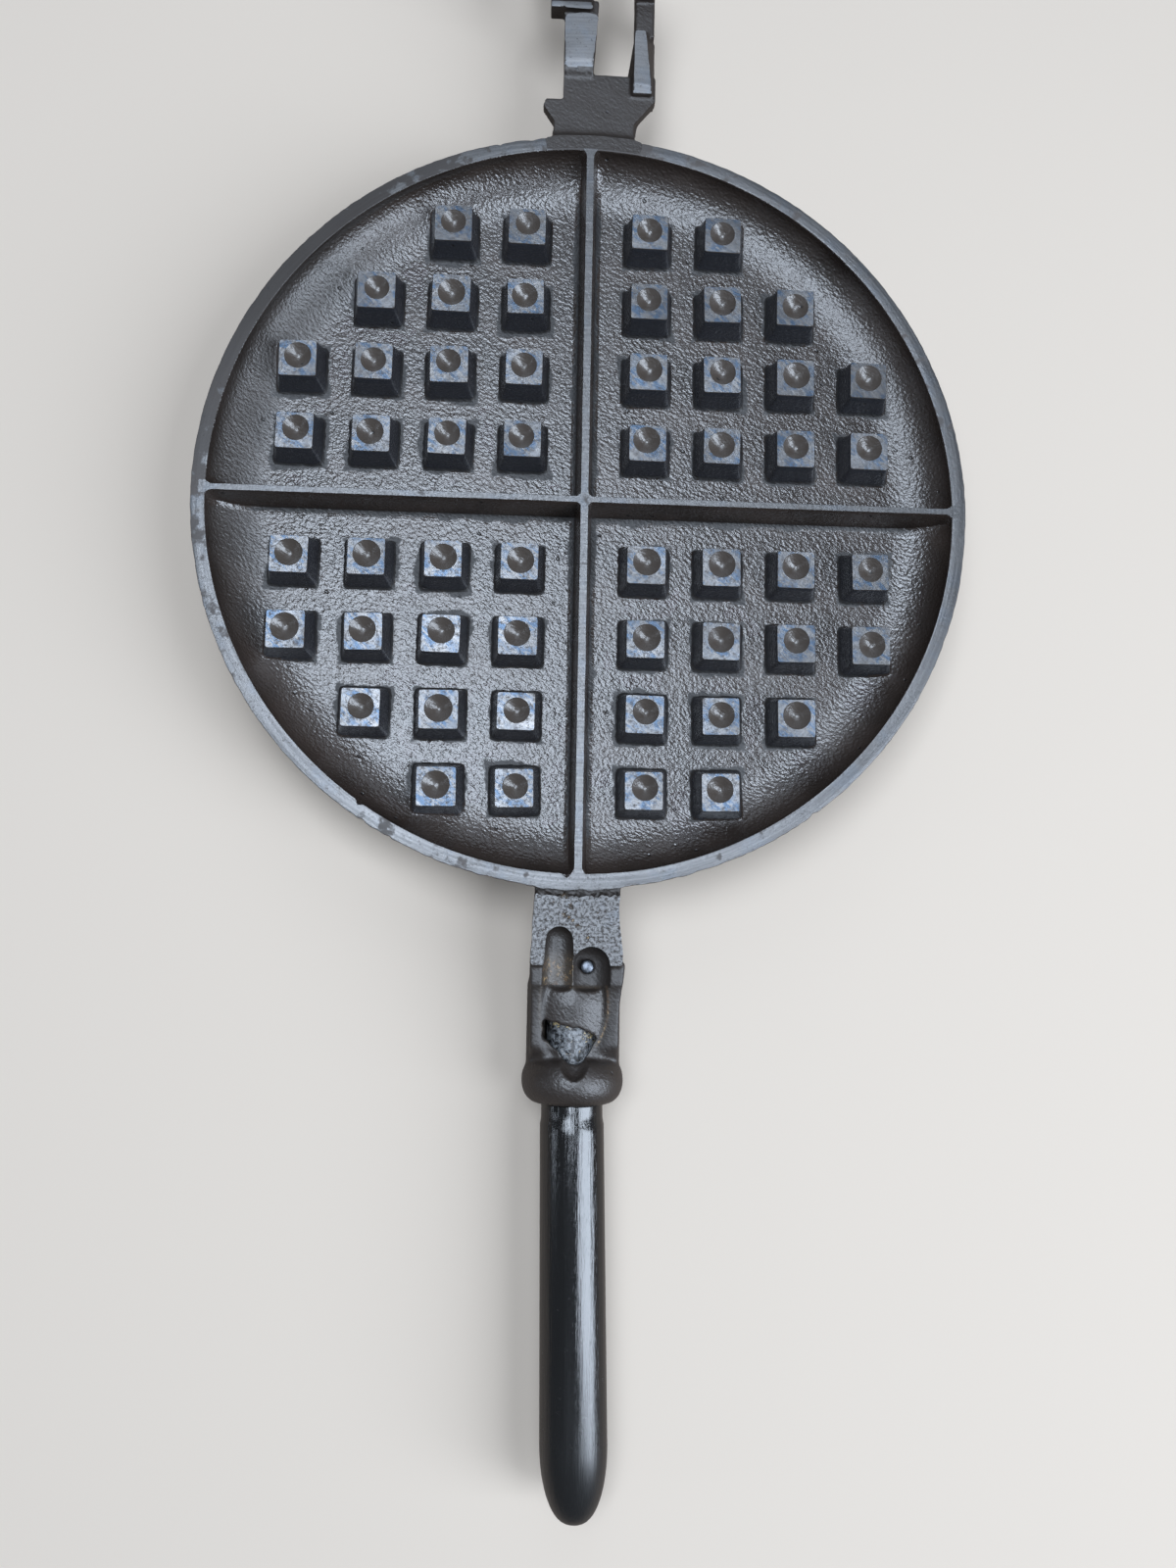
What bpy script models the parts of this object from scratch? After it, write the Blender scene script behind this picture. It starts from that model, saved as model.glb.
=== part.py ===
"""Stovetop waffle iron: two cast iron paddles of one pattern that hinge together, each with a
turned wooden handle pinned in its socket. It is modelled lying open and flat, grids up.

World frame in metres: the origin is on the table under the middle of the hinge. X runs along
the hinge, Y from the lower paddle's handle towards the upper paddle, Z up.

A paddle is modelled about its own hinge point, the middle of the hinge axis, with its handle
towards -Y. The upper paddle is the same casting turned half round the vertical."""

from math import asin, cos, pi, radians, sin, tan

import bmesh
import bpy
from mathutils import Matrix

MM = 0.001

# Fits
face_gap = 0.3 * MM  # between the two rims when the iron is shut
fit_gap = 0.3 * MM  # round a pin or a trunnion, and between two faces that meet
tenon_gap = 0.35 * MM
table_gap = 0.2 * MM  # under the collars when the iron lies on its foot rings
overrun = 2.0 * MM  # how far a cut runs past what it cuts
sink = 0.6 * MM  # how far one part of a casting reaches into the next
seam = 0.06 * MM  # keeps the faces of joined parts out of one plane

# Plate: a shallow bowl with a ground rim, and a ring on its back to stand on
rim_radius = 96.0 * MM
rim_land = 3.7 * MM
rim_edge_height = 5.0 * MM
rim_draft = 0.6 * MM
bowl_depth = 9.0 * MM
bowl_lip = 0.8 * MM
bowl_sweep = 14.0 * MM
floor_thickness = 4.2 * MM
foot_radius = 79.0 * MM
foot_width = 4.6 * MM
foot_draft = 1.0 * MM

# Cross of ribs, and the pegs that make the holes of the waffle
long_rib_width = 2.0 * MM
cross_rib_width = 1.6 * MM
rib_draft = 1.5 * MM
peg_pitch = 18.75 * MM
first_peg_from_rib = 15.7 * MM
peg_top_width = 9.2 * MM
peg_base_width = 12.4 * MM
peg_top_below_rim = 1.7 * MM
peg_rim_margin = 8.0 * MM  # from the bowl's edge to the middle of the nearest peg
dimple_radius = 3.25 * MM
dimple_depth = 2.2 * MM
dimple_shift = 0.5 * MM

# Hinge: a wide inner finger with a trunnion, a narrow outer finger with an open eye
hinge_from_rim = 46.5 * MM  # from the rim's outside to the hinge axis
hinge_top_below_rim = 2.0 * MM
hinge_thickness = 3.0 * MM
hinge_root_left = 9.6 * MM
hinge_root_right = 11.3 * MM
keel_depth = 6.6 * MM  # of the stiffeners under the fingers
inner_keel_width = 6.4 * MM
outer_keel_width = 4.4 * MM
keel_draft = 1.2 * MM
spur_reach = 12.4 * MM
spur_from_rim = 9.8 * MM
spur_slope_height = 4.2 * MM
spur_tip_height = 2.0 * MM
spur_tip_width = 0.7 * MM
finger_start = 18.8 * MM  # from the rim to the slot between the fingers
inner_finger_left = 7.2 * MM
inner_finger_right = 0.4 * MM
inner_finger_tip_right = 1.7 * MM
inner_land_to_axis = 10.5 * MM
inner_finger_clearance = 1.7 * MM  # from the finger's end to the mate's knuckle
outer_finger_left = 9.3 * MM
outer_finger_right = 16.7 * MM
outer_shoulder = 12.3 * MM
outer_land_start = 13.0 * MM
outer_land_to_axis = 16.0 * MM
outer_land_inset = 1.3 * MM
outer_land_width = 5.1 * MM
outer_land_end_width = 2.4 * MM
outer_flank_height = 5.0 * MM
knuckle_radius = 5.0 * MM
knuckle_side_gap = 0.2 * MM  # from the middle of the hinge to each inner knuckle
lug_width = 3.7 * MM  # of the inner knuckle beyond its finger, towards the eye
lug_ledge = 1.6 * MM
lug_slope = 2.2 * MM
trunnion_radius = 3.2 * MM
eye_radius = 7.0 * MM
eye_width = 5.0 * MM
eye_horn_height = 4.2 * MM
arm_drop = 1.4 * MM  # of the un-ground arms behind the lands

# Neck and handle socket
neck_drop = 0.5 * MM
neck_root_width = 20.2 * MM
neck_end_width = 21.8 * MM
neck_length = 18.0 * MM  # from the rim to the end of the ground neck
neck_thickness = 12.0 * MM
shelf_width = 22.8 * MM
shelf_shift = 0.4 * MM
shelf_step = 0.8 * MM
shelf_level = 4.6 * MM  # above the handle's axis, beside the hood
cheek_slant = 2.4 * MM  # from a cheek's outer edge down to the hood
cheek_fall = 4.6 * MM  # from the neck's end of a cheek down to the collar
socket_radius = 11.4 * MM
socket_nose_radius = 5.0 * MM
socket_nose_length = 21.0 * MM
hood_radius = 8.6 * MM
hood_start = 22.8 * MM  # from the rim
hood_length = 17.7 * MM
collar_radius = 12.4 * MM
collar_length = 10.8 * MM
collar_top_gap = 0.3 * MM  # below the rim's plane
bore_radius = 6.9 * MM
bore_tip_radius = 4.7 * MM
bore_start = 16.0 * MM  # from the rim
bore_tip_length = 9.0 * MM
groove_radius = 2.9 * MM
groove_offset = 3.9 * MM
groove_start = 9.4 * MM
pocket_radius = 4.55 * MM
pocket_offset = 3.6 * MM
groove_depth = 4.2 * MM
pocket_start = 13.4 * MM
pocket_depth = 5.4 * MM
notch_radius = 4.2 * MM
notch_height = 12.2 * MM  # from the handle's axis to the notch's own axis
notch_length = 2.2 * MM  # into the collar

# The worn hole in the hood, as shares of the hood's radius and length
worn_hole_shares = ((-0.95, 0.46), (-0.61, 0.50), (-0.28, 0.53), (0.25, 0.57), (0.51, 0.64),
                    (0.63, 0.70), (0.59, 0.78), (0.43, 0.90), (0.27, 0.97), (-0.34, 0.97),
                    (-0.45, 0.89), (-0.70, 0.81), (-0.88, 0.74), (-0.97, 0.60))

# Handle and pin
grip_length = 95.6 * MM
grip_radius = 8.05 * MM
grip_neck_radius = 7.75 * MM
grip_chamfer = 0.6 * MM
grip_nose_length = 17.0 * MM
grip_tip_radius = 1.9 * MM
grip_lean = radians(1.3)
pin_radius = 1.5 * MM
pin_offset = 2.8 * MM
pin_from_rim = 18.4 * MM
pin_top_below_rim = 3.3 * MM
pin_dome = 0.5 * MM
pin_dome_share = 0.6  # of the pin's radius, for the flat on its top
pin_depth_in_wall = 2.4 * MM

# Facets
plate_steps = 60
turned_steps = 24
small_steps = 16
dimple_steps = 8
sweep_steps = 5
smooth_angle = radians(32)

# Places worked out from the sizes, about the hinge point
rim_z = -face_gap / 2
rim_hinge_y = -hinge_from_rim
plate_y = rim_hinge_y - rim_radius
rim_neck_y = plate_y - rim_radius
floor_z = rim_z - bowl_depth
back_z = floor_z - floor_thickness
handle_z = rim_z - collar_top_gap - collar_radius
table_z = handle_z - collar_radius - table_gap
hinge_height = -table_z
peg_top_z = rim_z - peg_top_below_rim
hinge_top_z = rim_z - hinge_top_below_rim
hinge_low_z = hinge_top_z - hinge_thickness
keel_low_z = hinge_low_z - keel_depth
arm_top_z = rim_z - arm_drop
neck_top_z = rim_z - neck_drop
hood_y = rim_neck_y - hood_start
collar_y = hood_y - hood_length
collar_middle_y = collar_y - collar_length / 2
mouth_y = collar_y - collar_length
bore_y = rim_neck_y - bore_start
bore_step_y = bore_y - bore_tip_length
inner_face_x = inner_finger_left + lug_width  # the lug's outer face, from the middle
eye_face_x = inner_face_x + fit_gap
eye_outer_x = eye_face_x + eye_width
trunnion_end_x = eye_outer_x - fit_gap

def clear_scene():
    for item in list(bpy.data.objects):
        bpy.data.objects.remove(item, do_unlink=True)


def new_collection(name):
    group = bpy.data.collections.new(name)
    bpy.context.scene.collection.children.link(group)
    return group


def new_material(name, colour, roughness, metallic):
    material = bpy.data.materials.new(name)
    material.use_nodes = True
    shader = material.node_tree.nodes["Principled BSDF"]
    shader.inputs["Base Color"].default_value = (*colour, 1.0)
    shader.inputs["Roughness"].default_value = roughness
    shader.inputs["Metallic"].default_value = metallic
    material.diffuse_color = (*colour, 1.0)
    return material


def new_object(name, mesh, group):
    item = bpy.data.objects.new(name, mesh)
    group.objects.link(item)
    return item


def as_guide(item):
    """Marks a shape that is only joined to a piece or cut from it."""
    item.hide_render = True
    item.display_type = "WIRE"
    return item


def baked_mesh(item, name):
    """The mesh that an object shows with its modifiers, still in the object's own frame."""
    bpy.context.view_layer.update()
    graph = bpy.context.evaluated_depsgraph_get()
    mesh = bpy.data.meshes.new_from_object(item.evaluated_get(graph))
    mesh.name = name
    return mesh


def turned(name, profile, steps, place=(0, 0, 0), tilt=(0, 0, 0)):
    """A solid turned about its own Z axis from (radius, height) points, listed from the top down."""
    mesh = bpy.data.meshes.new(name)
    mesh.from_pydata([(radius, 0, height) for radius, height in profile],
                     [(k, k + 1) for k in range(len(profile) - 1)], [])
    item = as_guide(new_object(name, mesh, guides))
    screw = item.modifiers.new("turn", "SCREW")
    screw.steps = screw.render_steps = steps
    screw.use_merge_vertices = True
    screw.merge_threshold = MM / 100
    item.location = place
    item.rotation_euler = tilt
    return item


def prism(name, outline, low, high, across=False):
    """A flat outline in X and Y between two heights, or in Y and Z between two places along X."""
    curve = bpy.data.curves.new(name, "CURVE")
    curve.dimensions = "2D"
    curve.fill_mode = "BOTH"
    curve.extrude = (high - low) / 2
    line = curve.splines.new("POLY")
    line.points.add(len(outline) - 1)
    for point, (along, up) in zip(line.points, outline):
        point.co = (along, up, 0, 1)
    line.use_cyclic_u = True
    drawn = new_object(name + "_outline", curve, guides)
    drawn.location = ((low + high) / 2, 0, 0) if across else (0, 0, (low + high) / 2)
    drawn.rotation_euler = (pi / 2, 0, pi / 2) if across else (0, 0, 0)
    mesh = baked_mesh(drawn, name)
    item = as_guide(new_object(name, mesh, guides))
    item.matrix_world = drawn.matrix_world.copy()
    bpy.data.objects.remove(drawn, do_unlink=True)
    body = bmesh.new()
    body.from_mesh(mesh)
    bmesh.ops.remove_doubles(body, verts=body.verts, dist=MM / 100)
    bmesh.ops.recalc_face_normals(body, faces=body.faces)
    body.to_mesh(mesh)
    body.free()
    return item


def block(name, low, high):
    """A box between two corners."""
    body = bmesh.new()
    bmesh.ops.create_cube(body, size=1)
    for corner in body.verts:
        corner.co = [(a + b) / 2 + share * (b - a) for a, b, share in zip(low, high, corner.co)]
    mesh = bpy.data.meshes.new(name)
    body.to_mesh(mesh)
    body.free()
    return as_guide(new_object(name, mesh, guides))


def tapered_block(name, base, top, low, high):
    """A block with sloping sides; base and top are its widths along X and Y, about the Z axis."""
    body = bmesh.new()
    bmesh.ops.create_cube(body, size=1)
    for corner in body.verts:
        width = top if corner.co.z > 0 else base
        corner.co = (corner.co.x * width[0], corner.co.y * width[1], high if corner.co.z > 0 else low)
    mesh = bpy.data.meshes.new(name)
    body.to_mesh(mesh)
    body.free()
    return as_guide(new_object(name, mesh, guides))


def hull(name, points):
    """The convex body round a set of corners."""
    body = bmesh.new()
    for point in points:
        body.verts.new(point)
    bmesh.ops.convex_hull(body, input=body.verts)
    bmesh.ops.recalc_face_normals(body, faces=body.faces)
    mesh = bpy.data.meshes.new(name)
    body.to_mesh(mesh)
    body.free()
    return as_guide(new_object(name, mesh, guides))


def rod(name, radius, ends, middle, along="X", steps=small_steps):
    """A round bar between two places along X or Y; middle gives its other two coordinates."""
    start, end = ends
    body = bmesh.new()
    bmesh.ops.create_cone(body, cap_ends=True, segments=steps, radius1=radius, radius2=radius,
                          depth=end - start, matrix=Matrix.Rotation(pi / steps, 4, "Z"))
    turn = Matrix.Rotation(pi / 2, 4, "Y") if along == "X" else Matrix.Rotation(pi / 2, 4, "X")
    bmesh.ops.transform(body, matrix=turn, verts=body.verts)
    half_way = (start + end) / 2
    place = (half_way, *middle) if along == "X" else (middle[0], half_way, middle[1])
    bmesh.ops.translate(body, vec=place, verts=body.verts)
    mesh = bpy.data.meshes.new(name)
    body.to_mesh(mesh)
    body.free()
    return as_guide(new_object(name, mesh, guides))


def round_ended_cut(name, radius, centre, length):
    """A bar along -Y with a round nose at its centre point, for cutting a trough."""
    nose = [(radius * sin(k * pi / 2 / sweep_steps), radius * cos(k * pi / 2 / sweep_steps))
            for k in range(sweep_steps + 1)]
    profile = nose + [(radius, -length), (0, -length)]
    return turned(name, profile, small_steps, centre, (-pi / 2, 0, 0))


def combine(item, operation, *others):
    for other in others:
        step = item.modifiers.new(other.name, "BOOLEAN")
        step.operation = operation
        step.solver = "EXACT"
        step.object = other


def plate_profile():
    """The plate's section from the middle of the bowl over the rim to the middle of the back."""
    bowl_edge = rim_radius - rim_land
    turn = [k * pi / 2 / sweep_steps for k in range(sweep_steps + 1)]
    sweep_centre = bowl_edge - bowl_sweep
    bowl = [(sweep_centre + bowl_sweep * sin(a), floor_z + (bowl_depth - bowl_lip) * (1 - cos(a)))
            for a in turn]
    edge_radius = rim_radius - rim_draft
    edge_z = rim_z - rim_edge_height
    back = [(foot_radius + (edge_radius - foot_radius) * cos(a), edge_z - (edge_z - back_z) * sin(a))
            for a in turn]
    foot = [(foot_radius - foot_draft, table_z),
            (foot_radius - foot_width, table_z),
            (foot_radius - foot_width - foot_draft, back_z)]
    return [(0, floor_z), *bowl, (bowl_edge, rim_z), (rim_radius, rim_z), *back, *foot, (0, back_z)]


def peg_places():
    """Middles of the pegs: a square grid in each quarter, as far out as the bowl has room."""
    reach = rim_radius - rim_land - peg_rim_margin
    count = int(reach / peg_pitch) + 1
    steps = [first_peg_from_rib + k * peg_pitch for k in range(count)]
    return [(side * across, end * along)
            for side in (-1, 1) for end in (-1, 1) for across in steps for along in steps
            if (across ** 2 + along ** 2) ** 0.5 <= reach]


def make_pegs():
    """One peg with its drilled dimple, repeated over the bowl."""
    peg = tapered_block("peg", (peg_base_width, peg_base_width), (peg_top_width, peg_top_width),
                        floor_z - sink, peg_top_z)
    open_share = 1 + overrun / dimple_depth
    dimple = turned("dimple", [(0, peg_top_z + overrun), (dimple_radius * open_share, peg_top_z + overrun),
                               (0, peg_top_z - dimple_depth)], dimple_steps, (0, dimple_shift, 0))
    combine(peg, "DIFFERENCE", dimple)
    one_peg = baked_mesh(peg, "one_peg")
    body = bmesh.new()
    for across, along in peg_places():
        first = len(body.verts)
        body.from_mesh(one_peg)
        body.verts.ensure_lookup_table()
        bmesh.ops.translate(body, vec=(across, plate_y + along, 0), verts=body.verts[first:])
    mesh = bpy.data.meshes.new("pegs")
    body.to_mesh(mesh)
    body.free()
    return as_guide(new_object("pegs", mesh, guides))


def make_rib(name, width, lengthways):
    """A rib across the whole bowl, level with the rim and let into its wall."""
    length = 2 * (rim_radius - rim_land + sink)
    base_width = width + 2 * rib_draft
    base = (base_width, length) if lengthways else (length, base_width)
    top = (width, length) if lengthways else (length, width)
    rib = tapered_block(name, base, top, floor_z - sink, rim_z - seam)
    rib.location.y = plate_y
    return rib


def arc(radius, start, end, steps):
    """Points on a circle about the hinge axis, with angles from +Y towards +Z."""
    turn = [start + (end - start) * k / steps for k in range(steps + 1)]
    return [(radius * cos(a), radius * sin(a)) for a in turn]


def inner_end():
    """The inner finger's tip seen from the side: a ledge, a relief and the knuckle on the axis."""
    slope_y = lug_ledge - inner_land_to_axis
    meet = asin(arm_top_z / knuckle_radius)
    outline = [(-inner_land_to_axis, -knuckle_radius), *arc(knuckle_radius, -pi / 2, pi - meet, small_steps),
               (slope_y + lug_slope, arm_top_z), (slope_y, rim_z - seam), (-inner_land_to_axis, rim_z - seam)]
    return prism("inner_end", outline, -inner_face_x, -knuckle_side_gap, across=True)


def outer_end():
    """The outer finger's tip seen from the side: an arm and an eye that is open at the top."""
    start_y = -outer_land_to_axis - sink
    hole_radius = trunnion_radius + fit_gap
    horn = asin(eye_horn_height / eye_radius)
    meet = asin(arm_top_z / eye_radius)
    outline = [(start_y, -eye_radius), *arc(eye_radius, -pi / 2, horn, small_steps // 2),
               (hole_radius, eye_horn_height), *arc(hole_radius, 0, -pi, small_steps // 2),
               (-hole_radius, eye_horn_height), *arc(eye_radius, pi - horn, pi - meet, small_steps // 4),
               (start_y, arm_top_z)]
    return prism("outer_end", outline, eye_face_x, eye_outer_x, across=True)


def keel(name, root, end, root_y, end_y):
    """A tapering stiffener under a finger; root and end are its left and right sides there."""
    top_z = hinge_low_z + sink
    low_z = keel_low_z
    corners = [(x, y, top_z) for sides, y in ((root, root_y), (end, end_y)) for x in sides]
    for (left, right), y in ((root, root_y), (end, end_y - keel_draft)):
        corners += [(left + keel_draft, y, low_z), (right - keel_draft, y, low_z)]
    return hull(name, corners)


def hinge_shapes():
    """Block, two fingers and their ends, on the far side of the rim from the handle."""
    root_y = rim_hinge_y - rim_land
    spur_y = rim_hinge_y + spur_from_rim
    spur_top_y = spur_y + spur_tip_height
    slot_y = rim_hinge_y + finger_start
    finger_end_y = -knuckle_radius - inner_finger_clearance
    body = prism("hinge_block", (
        (-hinge_root_left, root_y), (hinge_root_right, root_y),
        (hinge_root_right, spur_y - spur_slope_height),
        (outer_finger_right, rim_hinge_y + outer_shoulder), (outer_finger_right, slot_y),
        (inner_finger_right, slot_y), (inner_finger_tip_right, finger_end_y),
        (-inner_finger_left, finger_end_y), (-inner_finger_left, spur_top_y),
        (spur_tip_width - spur_reach, spur_top_y), (-spur_reach, spur_y),
        (-hinge_root_left, spur_y - spur_slope_height)), hinge_low_z, hinge_top_z)

    # The inner finger: its ground land, its keel, its end and the trunnion beside it
    land_start_y = slot_y + sink
    land_end_y = sink - inner_land_to_axis
    land_left = seam - inner_finger_left
    inner_land = prism("inner_land", (
        (land_left, land_start_y), (inner_finger_right, land_start_y),
        (inner_finger_tip_right - seam, land_end_y), (land_left, land_end_y)), hinge_top_z - sink, rim_z)
    inner_sides = (sink - inner_finger_left, sink - inner_finger_left + inner_keel_width)
    inner_keel = keel("inner_keel", inner_sides, inner_sides, root_y, finger_end_y - seam)
    trunnion = rod("trunnion", trunnion_radius, (-trunnion_end_x, sink - inner_face_x), (0, 0))

    # The outer finger: a ridge with flanks, whose ground land narrows towards the eye
    land_y = rim_hinge_y + outer_land_start
    end_y = -outer_land_to_axis
    foot_y = slot_y - outer_land_width
    right = outer_finger_right - seam
    land_left = outer_finger_left + outer_land_inset
    flank_z = rim_z - outer_flank_height
    flank = [(outer_finger_left, slot_y), (outer_finger_left, foot_y), (right, foot_y), (right, end_y),
             (eye_face_x, end_y)]
    ridge = hull("outer_ridge", (
        (land_left, land_y, rim_z), (land_left + outer_land_width, land_y, rim_z),
        (eye_face_x, end_y, rim_z), (eye_face_x + outer_land_end_width, end_y, rim_z),
        *((x, y, flank_z) for x, y in flank), *((x, y, hinge_low_z - eye_radius / 2) for x, y in flank[2:])))
    outer_keel = keel("outer_keel", (hinge_root_right - sink - outer_keel_width, hinge_root_right - sink),
                      (right - sink - outer_keel_width, right - sink), root_y, end_y - seam)
    return body, inner_land, inner_keel, inner_end(), trunnion, ridge, outer_keel, outer_end()


def neck_shapes():
    """Ground neck, shelf and round socket, with the hood over the tenon and the collar at its mouth."""
    neck_end_y = rim_neck_y - neck_length
    root_y = rim_neck_y + rim_land
    neck = prism("neck", (
        (-neck_root_width / 2, root_y), (-neck_end_width / 2, neck_end_y),
        (neck_end_width / 2, neck_end_y), (neck_root_width / 2, root_y)), rim_z - neck_thickness, neck_top_z)

    shelf_z = handle_z + shelf_level
    step_z = neck_top_z - shelf_step
    shelf = prism("shelf", (
        (neck_end_y + sink, handle_z), (neck_end_y + sink, step_z), (hood_y, step_z),
        (hood_y, shelf_z), (collar_middle_y, shelf_z), (collar_middle_y, handle_z)),
        shelf_shift - shelf_width / 2, shelf_shift + shelf_width / 2, across=True)
    cheek_end_y = collar_y - sink
    cheeks = []
    for side in (-1, 1):
        outer = shelf_shift + side * (shelf_width / 2 - seam)
        inner = side * hood_radius
        cheeks.append(hull("cheek", (
            (outer, hood_y + sink, step_z - seam), (inner, hood_y + sink, step_z - cheek_slant),
            (outer, cheek_end_y, step_z - cheek_fall), (inner, cheek_end_y, shelf_z - sink),
            *((x, y, handle_z + sink) for x in (outer, inner) for y in (hood_y + sink, cheek_end_y)))))

    socket = turned("socket", [
        (0, hood_y + socket_nose_length), (socket_nose_radius, hood_y + socket_nose_length),
        (socket_radius, hood_y), (socket_radius, collar_middle_y + sink), (0, collar_middle_y + sink)],
        turned_steps, (0, 0, handle_z), (-pi / 2, 0, 0))
    above_shelf = block("above_shelf", (-socket_radius - overrun, collar_middle_y - overrun, shelf_z - sink),
                        (socket_radius + overrun, rim_neck_y, rim_z + overrun))
    combine(socket, "DIFFERENCE", above_shelf)
    bead_height = collar_radius - grip_neck_radius
    turn = [pi * k / (2 * sweep_steps) for k in range(2 * sweep_steps + 1)]
    bead = [(grip_neck_radius + bead_height * sin(a), collar_middle_y + collar_length * cos(a) / 2)
            for a in turn]
    collar = turned("collar", [(0, collar_y), *bead, (0, mouth_y)], turned_steps, (0, 0, handle_z),
                    (-pi / 2, 0, 0))
    hood = rod("hood", hood_radius, (collar_middle_y - sink, hood_y), (0, handle_z), "Y", turned_steps)

    bore_tip = rod("bore_tip", bore_tip_radius, (bore_step_y - overrun, bore_y), (0, handle_z), "Y")
    bore = rod("bore", bore_radius, (mouth_y - overrun, bore_step_y), (0, handle_z), "Y")
    pin_y = rim_neck_y - pin_from_rim
    pin_low_z = handle_z - bore_tip_radius - pin_depth_in_wall - fit_gap
    pin_hole = turned("pin_hole", [(0, 0), (pin_radius + fit_gap, 0), (pin_radius + fit_gap, pin_low_z),
                                   (0, pin_low_z)], small_steps, (pin_offset, pin_y, 0))
    groove_y = rim_neck_y - groove_start - groove_radius
    groove = round_ended_cut("groove", groove_radius, (
        -groove_offset, groove_y, neck_top_z + groove_radius - groove_depth), groove_y - hood_y + seam)
    pocket_y = rim_neck_y - pocket_start - pocket_radius
    pocket = round_ended_cut("pocket", pocket_radius, (
        pocket_offset, pocket_y, neck_top_z + pocket_radius - pocket_depth), pocket_y - hood_y + 2 * seam)
    worn_hole = prism("worn_hole", [(across * hood_radius, hood_y - along * hood_length)
                                    for across, along in worn_hole_shares], shelf_z + sink / 2, rim_z)
    notch = round_ended_cut("notch", notch_radius, (0, collar_y + overrun, handle_z + notch_height),
                            overrun + notch_length)
    return (neck, shelf, *cheeks, socket, collar, hood), (
        bore_tip, bore, pin_hole, groove, pocket, worn_hole, notch)


def make_paddle_mesh():
    """The whole casting as one mesh, shared by both paddles."""
    plate = turned("paddle", plate_profile(), plate_steps, (0, plate_y, 0))
    neck_joined, neck_cut = neck_shapes()
    ribs = (make_rib("long_rib", long_rib_width, True), make_rib("cross_rib", cross_rib_width, False))
    combine(plate, "UNION", *hinge_shapes(), *neck_joined)
    combine(plate, "DIFFERENCE", *neck_cut)
    combine(plate, "UNION", *ribs, make_pegs())
    mesh = baked_mesh(plate, "paddle_casting")
    mesh.transform(Matrix.Translation(plate.location))
    return mesh


def make_handle_mesh():
    """A turned tenon and grip; the old grip leans a little to one side."""
    shoulder_y = mouth_y - fit_gap
    tip_y = shoulder_y - grip_length
    nose_y = tip_y + grip_nose_length
    tenon_radius = bore_radius - tenon_gap
    tip_radius = bore_tip_radius - tenon_gap
    turn = [k * pi / 2 / sweep_steps for k in range(1, sweep_steps + 1)]
    nose = [(grip_tip_radius + (grip_radius - grip_tip_radius) * cos(a), nose_y - grip_nose_length * sin(a))
            for a in turn]
    profile = [(0, bore_y - tenon_gap), (tip_radius, bore_y - tenon_gap),
               (tip_radius, bore_step_y - tenon_gap),
               (tenon_radius, bore_step_y - tenon_gap), (tenon_radius, shoulder_y),
               (grip_neck_radius - grip_chamfer, shoulder_y), (grip_neck_radius, shoulder_y - grip_chamfer),
               (grip_radius, nose_y), *nose, (0, tip_y)]
    handle = turned("handle", profile, small_steps, (0, 0, handle_z), (-pi / 2, 0, 0))
    hole_radius = pin_radius + fit_gap
    reach = bore_radius + overrun
    pin_way = turned("pin_way", [(0, reach), (hole_radius, reach), (hole_radius, -reach), (0, -reach)],
                     small_steps, (pin_offset, rim_neck_y - pin_from_rim, handle_z))
    combine(handle, "DIFFERENCE", pin_way)
    mesh = baked_mesh(handle, "handle")
    mesh.transform(handle.matrix_world)
    for point in mesh.vertices:
        if point.co.y < shoulder_y:
            point.co.x += (shoulder_y - point.co.y) * tan(grip_lean)
    return mesh


def make_pin_mesh():
    """A steel pin driven down through the neck and the end of the tenon, with a rounded top."""
    top_z = rim_z - pin_top_below_rim
    low_z = handle_z - bore_tip_radius - pin_depth_in_wall
    pin = turned("pin", [(0, top_z), (pin_radius * pin_dome_share, top_z), (pin_radius, top_z - pin_dome),
                         (pin_radius, low_z), (0, low_z)], small_steps,
                 (pin_offset, rim_neck_y - pin_from_rim, 0))
    mesh = baked_mesh(pin, "pin")
    mesh.transform(Matrix.Translation(pin.location))
    return mesh


def place_piece(name, mesh, material, hinge_point):
    if not mesh.materials:
        mesh.materials.append(material)
    mesh.shade_smooth()
    mesh.set_sharp_from_angle(angle=smooth_angle)
    item = new_object(name, mesh, parts)
    item.parent = hinge_point
    return item


def place_paddle(side, turn, pieces):
    """One paddle with its handle and pin, all on an empty at the middle of the hinge axis."""
    hinge_point = new_object(side + "_hinge_point", None, parts)
    hinge_point.location = (0, 0, hinge_height)
    hinge_point.rotation_euler = (0, 0, turn)
    for name, mesh, material in pieces:
        place_piece(side + "_" + name, mesh, material, hinge_point)


clear_scene()
parts = new_collection("stovetop_waffle_iron")
guides = new_collection("cutters")
pieces = (
    ("paddle", make_paddle_mesh(), new_material("seasoned cast iron", (0.055, 0.052, 0.052), 0.5, 0.6)),
    ("handle", make_handle_mesh(), new_material("black lacquered wood", (0.012, 0.012, 0.013), 0.18, 0.0)),
    ("handle_pin", make_pin_mesh(), new_material("worn steel", (0.42, 0.43, 0.45), 0.35, 1.0)),
)
place_paddle("lower", 0, pieces)
place_paddle("upper", pi, pieces)
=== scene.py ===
"""Looks of the stovetop waffle iron: two seasoned cast iron paddles of one pattern, lying open and
flat, with ground rims, ribs and peg tops, black lacquered handles and worn steel pins.

A paddle is shaped about its own hinge point, the middle of the hinge axis, with its handle towards
-Y, and is then put in place twice: the upper one is turned half round the vertical."""

import random
from math import asin, atan2, cos, degrees, exp, hypot, pi, radians, sin, sqrt, tan

import bmesh
import bpy
from mathutils import Matrix, Vector, noise


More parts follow.
